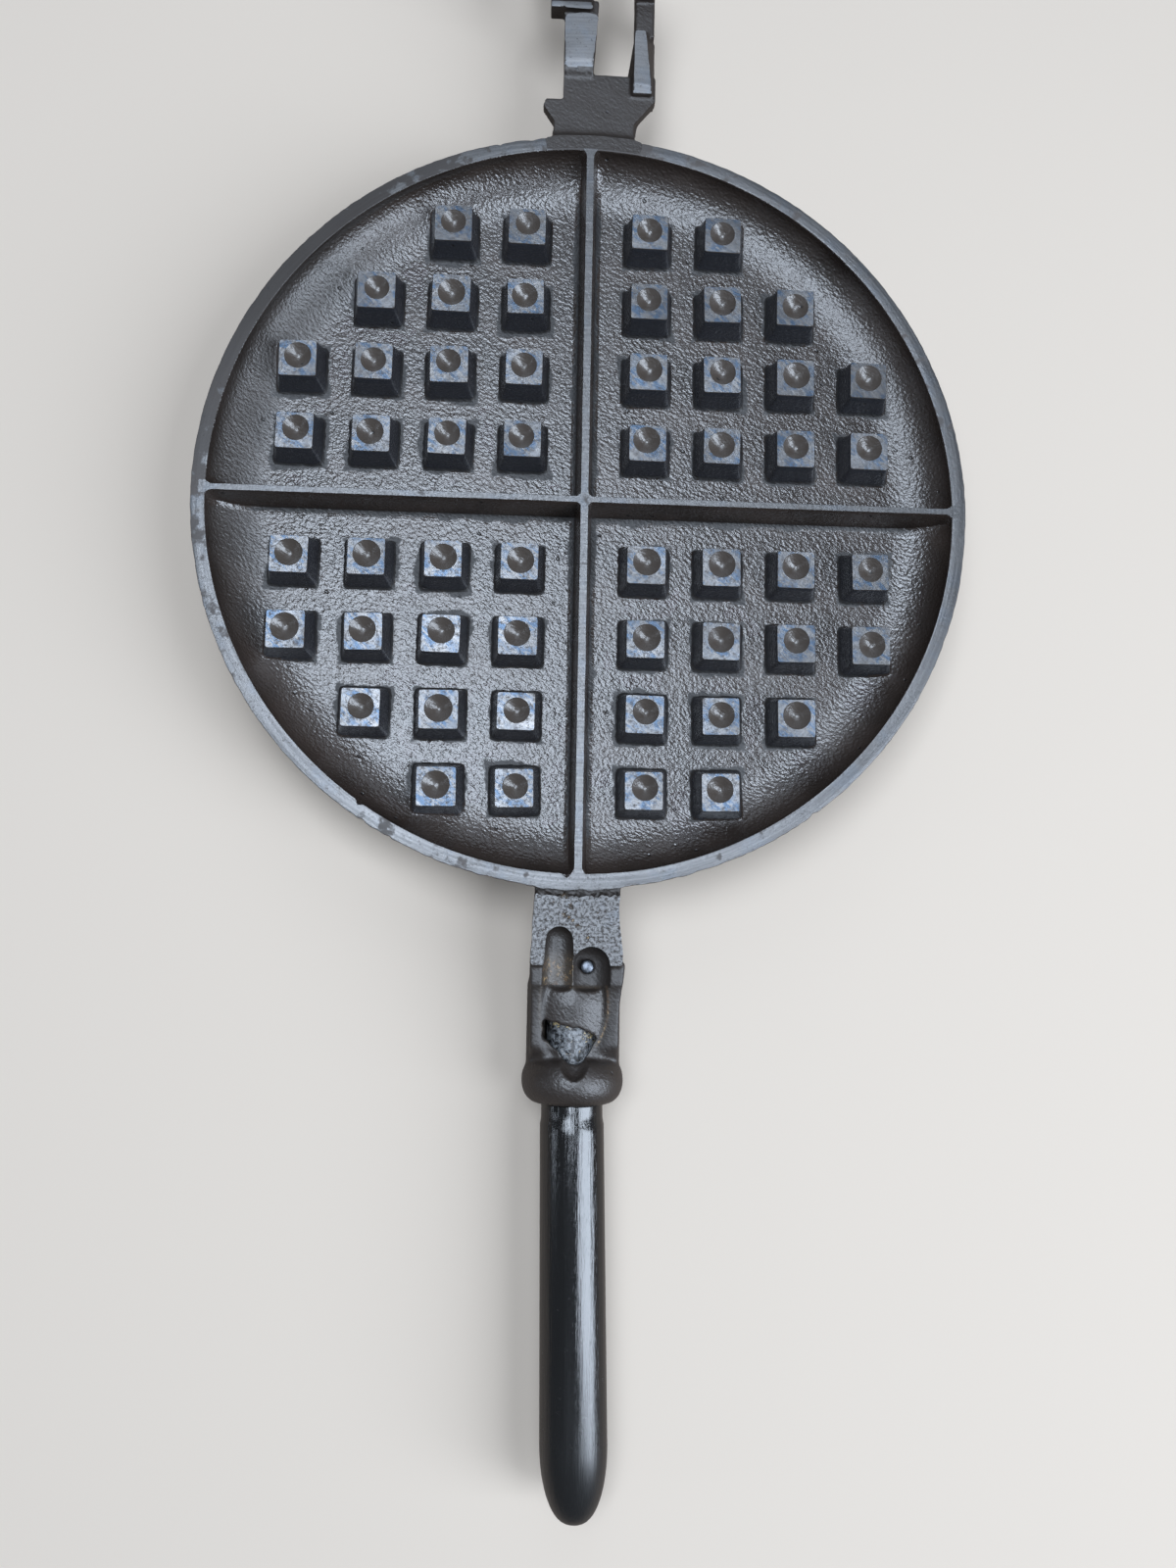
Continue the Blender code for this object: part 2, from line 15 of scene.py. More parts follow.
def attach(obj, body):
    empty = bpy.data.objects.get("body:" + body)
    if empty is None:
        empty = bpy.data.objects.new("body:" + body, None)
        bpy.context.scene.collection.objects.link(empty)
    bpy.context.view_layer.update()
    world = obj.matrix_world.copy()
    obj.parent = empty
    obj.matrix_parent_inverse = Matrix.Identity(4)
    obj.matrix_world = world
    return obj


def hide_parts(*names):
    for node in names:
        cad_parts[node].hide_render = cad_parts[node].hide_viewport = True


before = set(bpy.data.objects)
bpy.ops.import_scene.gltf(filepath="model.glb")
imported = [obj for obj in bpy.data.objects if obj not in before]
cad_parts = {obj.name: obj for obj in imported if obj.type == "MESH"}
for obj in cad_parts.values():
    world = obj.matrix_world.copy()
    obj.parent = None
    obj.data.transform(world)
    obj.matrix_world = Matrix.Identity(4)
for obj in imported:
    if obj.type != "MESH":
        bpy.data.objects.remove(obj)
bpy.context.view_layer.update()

MM = 0.001
chance = random.Random(8)

# Fits
face_gap = 0.3 * MM
fit_gap = 0.3 * MM
tenon_gap = 0.35 * MM
table_gap = 0.2 * MM
overrun = 2.0 * MM
sink = 0.6 * MM
seam = 0.06 * MM
grind = 0.7 * MM  # how much higher a face is cast than it is ground

# Plate
rim_radius = 96.0 * MM
rim_land = 3.7 * MM
rim_edge_height = 5.0 * MM
rim_draft = 0.6 * MM
bowl_depth = 9.0 * MM
bowl_lip = 0.8 * MM
bowl_sweep = 14.0 * MM
floor_thickness = 4.2 * MM
foot_radius = 79.0 * MM
foot_width = 4.6 * MM
foot_draft = 1.0 * MM
rim_corner = 0.35 * MM
foot_corner = 0.8 * MM
flash_half_width = 11 * MM

# Ribs and pegs
long_rib_width = 2.0 * MM
cross_rib_width = 1.6 * MM
rib_draft = 1.5 * MM
rib_flare_at_rim = 1.5 * MM
rib_flare_at_rib = 0.9 * MM
peg_pitch = 18.75 * MM
first_peg_from_rib = 15.7 * MM
peg_top_width = 9.2 * MM
peg_base_width = 12.4 * MM
peg_top_below_rim = 1.7 * MM
peg_rim_margin = 8.0 * MM
dimple_radius = 3.35 * MM
dimple_depth = 2.2 * MM
dimple_shift = 0.5 * MM

# Hinge
hinge_from_rim = 46.5 * MM
hinge_top_below_rim = 2.0 * MM
hinge_thickness = 3.0 * MM
hinge_root_left = 9.6 * MM
hinge_root_right = 11.3 * MM
keel_depth = 6.6 * MM
inner_keel_width = 6.4 * MM
outer_keel_width = 4.4 * MM
keel_draft = 1.2 * MM
spur_reach = 12.4 * MM
spur_from_rim = 9.8 * MM
spur_slope_height = 4.2 * MM
spur_tip_height = 2.0 * MM
spur_tip_width = 0.7 * MM
finger_start = 18.8 * MM
inner_finger_left = 7.2 * MM
inner_finger_right = 0.4 * MM
inner_finger_tip_right = 1.7 * MM
inner_land_to_axis = 10.5 * MM
inner_finger_clearance = 1.7 * MM
outer_finger_left = 9.3 * MM
outer_finger_right = 16.7 * MM
outer_shoulder = 12.3 * MM
outer_land_start = 13.0 * MM
outer_land_to_axis = 16.0 * MM
outer_land_inset = 1.3 * MM
outer_land_width = 5.1 * MM
outer_land_end_width = 2.4 * MM
outer_flank_height = 5.0 * MM
land_sag = 0.6 * MM
land_sag_length = 2.6 * MM
knuckle_radius = 5.0 * MM
knuckle_side_gap = 0.2 * MM
lug_width = 3.7 * MM
lug_ledge = 1.6 * MM
lug_slope = 2.2 * MM
trunnion_radius = 3.2 * MM
eye_radius = 7.0 * MM
eye_width = 5.0 * MM
eye_horn_height = 4.2 * MM
arm_drop = 1.4 * MM

# Neck and socket
neck_drop = 0.5 * MM
neck_length = 18.0 * MM
neck_thickness = 12.0 * MM
shelf_width = 22.8 * MM
shelf_shift = 0.4 * MM
shelf_step = 0.8 * MM
shelf_level = 4.6 * MM
socket_radius = 11.4 * MM
socket_nose_radius = 5.0 * MM
socket_nose_length = 21.0 * MM
hood_radius = 10.4 * MM
hood_half_width = 8.5 * MM
hood_front_taper = 0.5 * MM
hood_front_drop = 0.8 * MM
hood_sag = 2.4 * MM
hood_widest = 0.3
hood_tip_share = 0.9
land_fall = 4.0 * MM
hood_start = 22.8 * MM
hood_length = 17.7 * MM
collar_radius = 12.4 * MM
collar_length = 10.8 * MM
collar_top_gap = 0.3 * MM
bore_radius = 6.9 * MM
bore_tip_radius = 4.7 * MM
bore_start = 16.0 * MM
bore_tip_length = 9.0 * MM
groove_radius = 3.4 * MM
groove_offset = 4.1 * MM
groove_start = 8.7 * MM
groove_depth = 4.2 * MM
pocket_radius = 4.55 * MM
pocket_offset = 3.6 * MM
pocket_start = 13.4 * MM
pocket_depth = 5.4 * MM
notch_radius = 4.3 * MM
notch_height = 12.0 * MM
notch_length = 4.6 * MM

# Nicks in the rim: angle in degrees, on the outer edge or not, depth and half width in millimetres
rim_nicks = ((-124.4, False, 0.9, 0.6), (-122.6, True, 0.5, 0.7), (-91.7, False, 1.1, 0.7),
             (-53.5, True, 0.5, 0.8), (-118, True, 0.35, 0.5), (104, True, 0.4, 0.6),
             (99, True, 0.35, 0.9))

# Patches round the plate: middle and width in degrees, sharpness of the ends and strength. The
# stains darken the ground rim again and the rim's patch makes it darker and rougher; the wall's
# patches are painted shade on two sides of the bowl's wall, with a rougher skin.
rim_stains = ((144, 45, 2, 1.4), (90, 11, 4, 1.3), (243, 15, 2, 0.5))
far_half_stain = 0.3
rim_dull = ((134, 32, 2, 1.2),)
wall_shade_and_dull = ((165, 38, 4, 0.7), (45, 50, 4, 0.3))

# Half the section of a dimple: shares of its radius and of its depth
dimple_section = ((0, 1), (0.16, 0.965), (0.36, 0.82), (0.58, 0.56), (0.78, 0.3), (0.92, 0.12),
                  (0.98, 0.04), (1, 0))

# Directions of a peg's points over a quarter turn, in degrees, close together at the corner
peg_quarter = (0, 8, 17, 27, 34, 39, 42.5, 45, 47.5, 51, 56, 63, 73, 82)

# Where the hinge block runs up onto the rim, in three steps: degrees wide and reach outwards
saddle_shapes = ((12.4, 3.4 * MM), (13.4, 1.7 * MM), (14.6, 0.8 * MM))

# The neck's outline, left side and then right: across and from the rim, in millimetres
neck_sides = ((-10.3, 3.7), (-10.1, -1), (-10.3, -3.5), (-10.6, -8), (-10.55, -12), (-10.9, -15),
              (-10.9, -18.1), (10.9, -18.1), (11.1, -15), (10.6, -11), (10.2, -8), (10.0, -4),
              (10.35, -1.2), (10.3, 3.7))

# Rusty pits in the neck's top: across, from the neck's end and radius, all in millimetres
neck_pits = ((-3.5, 16.6, 0.7), (-2.6, 15.9, 0.5), (-1.7, 14.2, 0.8), (-1.2, 13.4, 0.5),
             (-3.0, 11.9, 0.7), (-1.9, 11.3, 0.6), (-1.0, 10.6, 0.5), (0.2, 9.4, 0.6),
             (0.9, 8.9, 0.4), (2.6, 6.6, 0.5), (-5.7, 14.9, 0.3), (-6.6, 12.6, 0.25),
             (4.9, 12.4, 0.3), (6.6, 9.0, 0.25), (7.0, 6.6, 0.3), (-8.1, 8.2, 0.3),
             (3.9, 15.6, 0.25))

# Pale dust on the tenon beside the hole's edge: across and from the hood's front, in millimetres
tenon_dust = ((-4.2, 9.0), (-1.6, 9.2), (3.8, 11.8))

# The worn hole in the hood, as shares of its reach to each side and of the hood's length
worn_hole_reach = 8.6 * MM
worn_hole_shares = ((-0.87, 0.46), (-0.74, 0.475), (-0.66, 0.50), (-0.52, 0.49), (-0.40, 0.53),
                    (-0.20, 0.545), (-0.06, 0.575), (0.08, 0.56), (0.25, 0.59), (0.36, 0.625),
                    (0.51, 0.65), (0.60, 0.69), (0.61, 0.74), (0.53, 0.79), (0.46, 0.87),
                    (0.36, 0.94), (0.24, 1.02), (0.10, 1.06), (-0.12, 1.05), (-0.26, 1.0),
                    (-0.38, 0.93), (-0.46, 0.87), (-0.62, 0.83), (-0.72, 0.77), (-0.86, 0.73),
                    (-0.90, 0.66), (-0.86, 0.58), (-0.91, 0.52))

# Handle and pin
grip_length = 95.6 * MM
grip_radius = 8.05 * MM
grip_neck_radius = 7.75 * MM
grip_chamfer = 0.25 * MM
grip_nose_length = 17.0 * MM
grip_tip_radius = 1.9 * MM
grip_lean = radians(1.3)
paint_step = 0.28 * MM
paint_step_rows = 3
pin_radius = 1.5 * MM
pin_offset = 2.8 * MM
pin_from_rim = 18.4 * MM
pin_top_below_rim = 3.3 * MM
pin_dome = 0.5 * MM
pin_depth_in_wall = 2.4 * MM

# Facets
plate_steps = 900
turned_steps = 64
rib_steps = 260
smooth_angle = radians(30)
ground_slope = 0.97  # a ground face points up at least this straight
ground_band = 0.09 * MM

# Marks of finish that the iron's material reads; an unmarked face is as it was cast
turned_finish = 1.0
peg_top_finish = 0.9
filed_finish = 0.8
land_finish = 0.6
drilled_finish = 0.4

# The photo's camera: turned about X, Y and Z in radians; the photo's long side is 1600 pixels
camera_place = (-0.012606, -0.245363, 0.306889)
camera_turn = (-0.1123769, 0.0537831, -0.0165952)
camera_focal = 1205

# Light
daylight = (0.76, 0.86, 1.0)
backdrop = (0.73, 0.725, 0.715, 1)

# Places, about the hinge point
rim_z = -face_gap / 2
rim_hinge_y = -hinge_from_rim
plate_y = rim_hinge_y - rim_radius
rim_neck_y = plate_y - rim_radius
floor_z = rim_z - bowl_depth
back_z = floor_z - floor_thickness
handle_z = rim_z - collar_top_gap - collar_radius
table_z = handle_z - collar_radius - table_gap
hinge_height = -table_z
peg_top_z = rim_z - peg_top_below_rim
hinge_top_z = rim_z - hinge_top_below_rim
hinge_low_z = hinge_top_z - hinge_thickness
keel_low_z = hinge_low_z - keel_depth
arm_top_z = rim_z - arm_drop
neck_top_z = rim_z - neck_drop
neck_end_y = rim_neck_y - neck_length
hood_y = rim_neck_y - hood_start
collar_y = hood_y - hood_length
collar_middle_y = collar_y - collar_length / 2
mouth_y = collar_y - collar_length
bore_y = rim_neck_y - bore_start
bore_step_y = bore_y - bore_tip_length
pin_y = rim_neck_y - pin_from_rim
inner_face_x = inner_finger_left + lug_width
eye_face_x = inner_face_x + fit_gap
eye_outer_x = eye_face_x + eye_width
trunnion_end_x = eye_outer_x - fit_gap
bowl_edge = rim_radius - rim_land
sweep_start = bowl_edge - bowl_sweep
peg_reach = bowl_edge - peg_rim_margin
hinge_root_y = rim_hinge_y - rim_land
slot_y = rim_hinge_y + finger_start
land_low_y = slot_y - 6 * MM
finger_end_y = -knuckle_radius - inner_finger_clearance
outer_end_y = -outer_land_to_axis
outer_right = outer_finger_right - seam
shelf_left = shelf_shift - shelf_width / 2
shelf_right = shelf_shift + shelf_width / 2
shelf_z = handle_z + shelf_level
step_z = neck_top_z - shelf_step
handle_middle = (0, 0, handle_z)
pin_low_z = handle_z - bore_tip_radius - pin_depth_in_wall


# ---- Shaping ----

def held(value):
    """A value held between 0 and 1."""
    return min(max(value, 0), 1)


def eased(share):
    """A share from 0 to 1 that starts and ends gently."""
    return share * share * (3 - 2 * share)


def peak(off, width, power=2):
    """1 in the middle, falling away on each side over about this width."""
    return exp(-(off / width) ** power)


def ripple(place, size):
    """Smooth noise between about -1 and 1, whose lumps have about this size."""
    return noise.noise(Vector(place) / size)


def fan(turn, steps):
    """Angles from 0 to a turn, in equal steps."""
    return [turn * k / steps for k in range(steps + 1)]


def between(start, end, share):
    return start + (end - start) * share


def arc(radius, start, end, steps):
    """Points on a circle, with angles from the first axis towards the second."""
    return [(radius * cos(start + a), radius * sin(start + a)) for a in fan(end - start, steps)]


def softened(points, radius, steps=3):
    """A line of points with its inner corners rounded, by a short curve at each."""
    line = [Vector(points[0])]
    for before, corner, after in zip(points, points[1:], points[2:]):
        before, corner, after = Vector(before), Vector(corner), Vector(after)
        reach = min(radius, (before - corner).length / 2, (after - corner).length / 2)
        start = corner + (before - corner).normalized() * reach
        end = corner + (after - corner).normalized() * reach
        for share in fan(1, steps):
            line.append(start * (1 - share) ** 2 + corner * 2 * share * (1 - share)
                        + end * share ** 2)
    return line + [Vector(points[-1])]


def turned_by(body, angle, axis, centre=(0, 0, 0)):
    bmesh.ops.rotate(body, verts=body.verts, cent=centre, matrix=Matrix.Rotation(angle, 3, axis))
    return body


def with_normals(body):
    """The body with its normals worked out again; those of a closed body then point outwards."""
    bmesh.ops.recalc_face_normals(body, faces=body.faces)
    return body


def facing_up(body):
    """An open shell turned so that its faces point up."""
    if sum(face.normal.z * face.calc_area() for face in body.faces) < 0:
        bmesh.ops.reverse_faces(body, faces=body.faces)
    return body


def spun(profile, steps, centre=(0, 0, 0), along_y=False, angle=2 * pi):
    """A body turned from (radius, height) points; height runs up, or along Y. Less than a whole
    turn makes a slice of a ring, whose middle lies towards -Y."""
    body = bmesh.new()
    points = [body.verts.new((radius, 0, height)) for radius, height in profile]
    whole = angle == 2 * pi
    if whole:
        lines = [body.edges.new(pair) for pair in zip(points, points[1:])]
    else:
        section = body.faces.new(points)
        lines = [section, *section.edges]
        turned_by(body, -pi / 2 - angle / 2, "Z")
    bmesh.ops.spin(body, geom=points + lines, cent=(0, 0, 0), axis=(0, 0, 1), angle=angle,
                   steps=steps, use_merge=whole, use_duplicate=False)
    if whole:
        bmesh.ops.remove_doubles(body, verts=body.verts, dist=MM / 1000)
    if along_y:
        turned_by(body, -pi / 2, "X")
    bmesh.ops.translate(body, verts=body.verts, vec=centre)
    return with_normals(body)


def ring_slice(profile, degrees_wide):
    """A slice of a ring round the plate's middle, on the side of the neck."""
    return spun(profile, 24, (0, plate_y, 0), angle=radians(degrees_wide))


def prism(outline, low, high, across=False):
    """A flat outline in X and Y between two heights, or in Y and Z between two places along X."""
    body = bmesh.new()
    base = body.faces.new([body.verts.new((low, a, b) if across else (a, b, low))
                           for a, b in outline])
    raised = bmesh.ops.extrude_face_region(body, geom=[base])
    moved = [item for item in raised["geom"] if isinstance(item, bmesh.types.BMVert)]
    rise = high - low
    bmesh.ops.translate(body, verts=moved, vec=(rise, 0, 0) if across else (0, 0, rise))
    return with_normals(body)


def block(low, high):
    """A box between its lowest and its highest corner."""
    body = bmesh.new()
    bmesh.ops.create_cube(body, size=1)
    for corner in body.verts:
        corner.co = [(a + b) / 2 + share * (b - a) for a, b, share in zip(low, high, corner.co)]
    return body


def hull(points):
    """The convex body round a set of corners."""
    body = bmesh.new()
    for point in points:
        body.verts.new(point)
    bmesh.ops.convex_hull(body, input=body.verts)
    return with_normals(body)


def rod(radius, ends, middle, along="X"):
    """A round bar between two places along X or Y; middle gives its other two coordinates."""
    start, end = ends
    body = bmesh.new()
    bmesh.ops.create_cone(body, cap_ends=True, segments=turned_steps, radius1=radius,
                          radius2=radius, depth=end - start)
    turned_by(body, pi / 2, "Y" if along == "X" else "X")
    half_way = (start + end) / 2
    place = (half_way, *middle) if along == "X" else (middle[0], half_way, middle[1])
    bmesh.ops.translate(body, verts=body.verts, vec=place)
    return body


def round_ended_cut(radius, centre, length, spread_by=0.0):
    """A bar along -Y with a round nose at its centre point, for cutting a trough; it may widen."""
    nose = [(radius * sin(a), radius * cos(a)) for a in fan(pi / 2, 8)]
    end = [((radius + spread_by) * share, -length - past * MM)
           for share, past in ((1, 0), (0.85, 0.8), (0.5, 1.3), (0, 1.5))]
    return spun([*nose, *end], turned_steps // 2, centre, along_y=True)


def loaf(top, low, high, base):
    """A solid over a patch of X and Y whose upper face follows a height, for joining to others."""
    body = bmesh.new()
    bmesh.ops.create_grid(body, x_segments=64, y_segments=64, size=1)
    raised = bmesh.ops.extrude_face_region(
        body, geom=[*body.verts, *body.edges, *body.faces], use_keep_orig=True)
    upper = {item for item in raised["geom"] if isinstance(item, bmesh.types.BMVert)}
    for point in body.verts:
        x, y = ((a + b + share * (b - a)) / 2 for a, b, share in zip(low, high, point.co))
        point.co = (x, y, top(x, y) if point in upper else base)
    return with_normals(body)


def as_mesh(body, name):
    mesh = bpy.data.meshes.new(name)
    body.to_mesh(mesh)
    body.free()
    return mesh


def gathered(bodies, name):
    """Bodies put side by side in one mesh, not fused yet."""
    whole = bmesh.new()
    for body in bodies:
        mesh = as_mesh(body, name)
        whole.from_mesh(mesh)
        bpy.data.meshes.remove(mesh)
    return as_mesh(whole, name)


def in_scene(name, data):
    item = bpy.data.objects.new(name, data)
    bpy.context.scene.collection.objects.link(item)
    return item


def baked(item):
    """The mesh that an object shows with its modifiers; the object itself is cleared away."""
    graph = bpy.context.evaluated_depsgraph_get()
    mesh = bpy.data.meshes.new_from_object(item.evaluated_get(graph))
    mesh.name = item.name
    bpy.data.objects.remove(item, do_unlink=True)
    return mesh


def cut(mesh, bodies):
    """A mesh after cutting bodies from it, in order."""
    item = in_scene(mesh.name, mesh)
    tools = [in_scene("cutter", as_mesh(body, "cutter")) for body in bodies]
    for tool in tools:
        step = item.modifiers.new(tool.name, "BOOLEAN")
        step.operation = "DIFFERENCE"
        step.solver = "EXACT"
        step.object = tool
    mesh = baked(item)
    for tool in tools:
        bpy.data.objects.remove(tool, do_unlink=True)
    return mesh


def cast_skin(mesh, voxel, rounds):
    """A mesh run together into one even skin whose corners are rounded, as a mould leaves them."""
    item = in_scene(mesh.name, mesh)
    skin = item.modifiers.new("one_skin", "REMESH")
    skin.mode = "VOXEL"
    skin.voxel_size = voxel
    corners = item.modifiers.new("cast_corners", "SMOOTH")
    corners.factor = 0.5
    corners.iterations = rounds
    return baked(item)


def roughened(mesh, size, depth):
    """A mesh with its points moved in and out a little, as cast or worn metal is uneven."""
    normals = [point.normal.copy() for point in mesh.vertices]
    for point, normal in zip(mesh.vertices, normals):
        point.co += normal * depth * ripple(point.co, size)
    return mesh


def marked(mesh, name, measure):
    """A mesh whose faces carry a measured value in an attribute that the material reads."""
    marks = mesh.attributes.new(name, "FLOAT", "FACE")
    marks.data.foreach_set("value", [measure(face) for face in mesh.polygons])
    return mesh


def mark_ground(mesh, height, finish, from_y=-1.0):
    """Faces ground flat at this height get the mark of their finish."""
    return marked(mesh, "ground", lambda face: finish * (
        face.normal.z > ground_slope and abs(face.center.z - height) < ground_band
        and face.center.y > from_y))


# ---- The plate ----

def bowl_rise(x, y):
    """How far the bowl's surface stands above its floor, at a place from the plate's middle."""
    share = held((hypot(x, y) - sweep_start) / bowl_sweep)
    return (bowl_depth - bowl_lip) * (1 - sqrt(1 - share ** 2))


def strongest(patches, x, y):
    """The strength of the strongest patch at a place from the plate's middle."""
    turn = degrees(atan2(y, x)) % 360
    return max(strength * peak(turn - middle, width, power)
               for middle, width, power, strength in patches)


def plate_stain(x, y):
    """How far the ground rim has darkened again; the half by the hinge more than the other."""
    return max(strongest(rim_stains, x, y), far_half_stain * (y > 0))


def plate_dull_and_shade(x, y):
    """How far the skin is duller and darker: on one stretch of the rim, and on two sides of the
    bowl's wall, where the darkening is painted shade.
    """
    out = hypot(x, y)
    if out > bowl_edge - 0.2 * MM:
        return strongest(rim_dull, x, y)
    return strongest(wall_shade_and_dull, x, y) * held((out - sweep_start) / (5 * MM))


def rim_wear(place, x, y):
    """How far the rim stands out at a place: ragged, with a flash by the neck and a few nicks."""
    out = hypot(x, y)
    share = held((out - bowl_edge) / rim_land)
    wave = ripple(place, 9 * MM) * 0.16 + ripple(place, 1.9 * MM) * 0.22
    flash = peak(x, flash_half_width, 6) * (y < 0)
    worn = 0.7 + 0.9 * held(-y / rim_radius) ** 6 + 0.8 * flash
    reach = (min(wave * worn - 0.13, 0) + 0.75 * flash) * (share - 0.1)
    for turn, outer, depth, width in rim_nicks:
        along = out * (atan2(y, x) - radians(turn)) / (width * MM)
        if (share > 0.5) == outer and abs(along) < 3:
            reach += (-1 if outer else 1) * depth * peak(along, 1)
    return reach * MM


def back_curve(steps):
    """The outside of the plate from its edge down to the foot ring, as (radius, height)."""
    edge_radius = rim_radius - rim_draft
    edge_z = rim_z - rim_edge_height
    return [(foot_radius + (edge_radius - foot_radius) * cos(a), edge_z - (edge_z - back_z) * sin(a))
            for a in fan(pi / 2, steps)]


def make_plate():
    """The round bowl with its ground rim and the ring it stands on."""
    flat = [(sweep_start * k / 9, floor_z) for k in range(9)]
    sweep = [(sweep_start + bowl_sweep * sin(a), floor_z + (bowl_depth - bowl_lip) * (1 - cos(a)))
             for a in fan(pi / 2, 18)]
    back = back_curve(12)
    edge = softened([sweep[-1], (bowl_edge, rim_z), (rim_radius, rim_z), back[0]], rim_corner)
    foot = softened([back[-1], (foot_radius - foot_draft, table_z),
                     (foot_radius - foot_width, table_z),
                     (foot_radius - foot_width - foot_draft, back_z), (0, back_z)], foot_corner)
    body = spun([*flat, *sweep, *edge[1:-1], *back, *foot[1:]], plate_steps, (0, plate_y, 0))
    for point in body.verts:
        x, y = point.co.x, point.co.y - plate_y
        out = hypot(x, y)
        if out > bowl_edge - MM and point.co.z > rim_z - 2 * MM:
            reach = rim_wear(point.co, x, y)
            point.co.x += x / out * reach
            point.co.y += y / out * reach
    mesh = mark_ground(as_mesh(body, "plate"), rim_z, turned_finish)
    # This mark also carries the painted shade on the bowl's wall.
    mesh = marked(mesh, "dull_and_shade", lambda face: (face.normal.z > 0.05) * plate_dull_and_shade(
        face.center.x, face.center.y - plate_y))
    return marked(mesh, "stain", lambda face: plate_stain(face.center.x, face.center.y - plate_y))


# ---- Ribs and pegs ----

def rib_flare(along):
    """How much wider a rib is on each side where it runs into the rim or the other rib."""
    flare = 0
    for corner, radius in ((bowl_edge, rib_flare_at_rim), (cross_rib_width / 2, rib_flare_at_rib)):
        away = abs(abs(along) - corner)
        if away < radius:
            flare = radius - sqrt(radius ** 2 - (radius - away) ** 2)
        if abs(along) >= bowl_edge or abs(along) <= cross_rib_width / 2:
            flare = radius
    return flare


def make_rib(width, lengthways, seed, lift):
    """A thin rib across the bowl, flush with the rim, swelling into the floor at its foot."""
    half = width / 2
    section = [(0, rim_z), (half * 0.6, rim_z), (half - 0.1 * MM, rim_z), (half, rim_z - 0.12 * MM)]
    top_points = len(section) - 1
    section += [(half + rib_draft * share * 0.8, rim_z - bowl_depth * share)
                for share in (0.2, 0.4, 0.6, 0.8, 0.93)]
    section += [(half + rib_draft + past * MM, floor_z + up * MM)
                for past, up in ((0.1, 0.2), (0.9, 0), (1.3, -0.15))]
    last = len(section) - 1
    length = 2 * (bowl_edge + rim_land * 0.45)
    body = bmesh.new()
    bmesh.ops.create_grid(body, x_segments=2 * last, y_segments=rib_steps, size=1)
    for point in body.verts:
        k = round(point.co.x * last)
        along = point.co.y * length / 2
        side = (k > 0) - (k < 0)
        reach, height = section[abs(k)]
        wave = sum(noise.noise(Vector((seed + side, along / size, layer))) * depth
                   for size, layer, depth in ((9 * MM, 0, 0.07 * MM), (2 * MM, 1, 0.05 * MM)))
        across = side * (reach + rib_flare(along) + wave) if k else 0
        x, y = (across, along) if lengthways else (along, across)
        if abs(k) > top_points:
            height = rim_z + (height - rim_z) / bowl_depth * (bowl_depth - bowl_rise(x, y))
        point.co = (x, plate_y + y, height + (lift if abs(k) < top_points else 0))
    return facing_up(with_normals(body))


def make_ribs():
    """The cross of ribs; the tiny lifts keep the two flat tops from lying in one plane."""
    ribs = (make_rib(long_rib_width, True, 3, 0.03 * MM),
            make_rib(cross_rib_width, False, 11, 0.01 * MM))
    return mark_ground(gathered(ribs, "ribs"), rim_z, turned_finish)


def make_peg(top_half, slope, dimple, shift, depth):
    """One peg about its own middle: a ground square top, sloping sides, a flare at its foot and a
    round dimple with a crisp rim."""
    high = peg_top_z - floor_z
    profile = [(share * dimple, peg_top_z - down * depth) for share, down in dimple_section]
    profile += [(dimple + 0.12 * MM, peg_top_z), (top_half + 0.02 * MM, peg_top_z),
                (top_half + 0.13 * MM, peg_top_z - 0.16 * MM)]
    profile += [(top_half + slope * share, peg_top_z - high * share) for share in (0.3, 0.6, 0.88)]
    profile += [(top_half + slope + past * MM, floor_z + up * MM)
                for past, up in ((0.08, 0.3), (0.3, 0.04), (0.55, -0.12))]
    steps = 4 * len(peg_quarter)
    body = spun(profile, steps)
    for point in body.verts:
        out = hypot(point.co.x, point.co.y)
        if out < MM / 100:
            point.co += Vector(shift)
            continue
        k = round(atan2(point.co.y, point.co.x) / (2 * pi) * steps) % steps
        turn = radians(90 * (k // len(peg_quarter)) + peg_quarter[k % len(peg_quarter)])
        if out > top_half - 0.15 * MM:
            corner = 20 if out < top_half + 0.2 * MM else 12
            out /= (abs(cos(turn)) ** corner + abs(sin(turn)) ** corner) ** (1 / corner)
        point.co.x, point.co.y = out * cos(turn), out * sin(turn)
        if out < dimple + 0.2 * MM:
            point.co += Vector(shift)
    return facing_up(body)


def peg_places():
    """Middles of the pegs: a square grid in each quarter, as far out as the bowl has room."""
    steps = [first_peg_from_rib + k * peg_pitch for k in range(int(peg_reach / peg_pitch) + 1)]
    return [(side * across, end * along)
            for side in (-1, 1) for end in (-1, 1) for across in steps for along in steps
            if hypot(across, along) <= peg_reach]


def some(middle, low, high):
    """A length times a share drawn by chance."""
    return middle * chance.uniform(low, high)


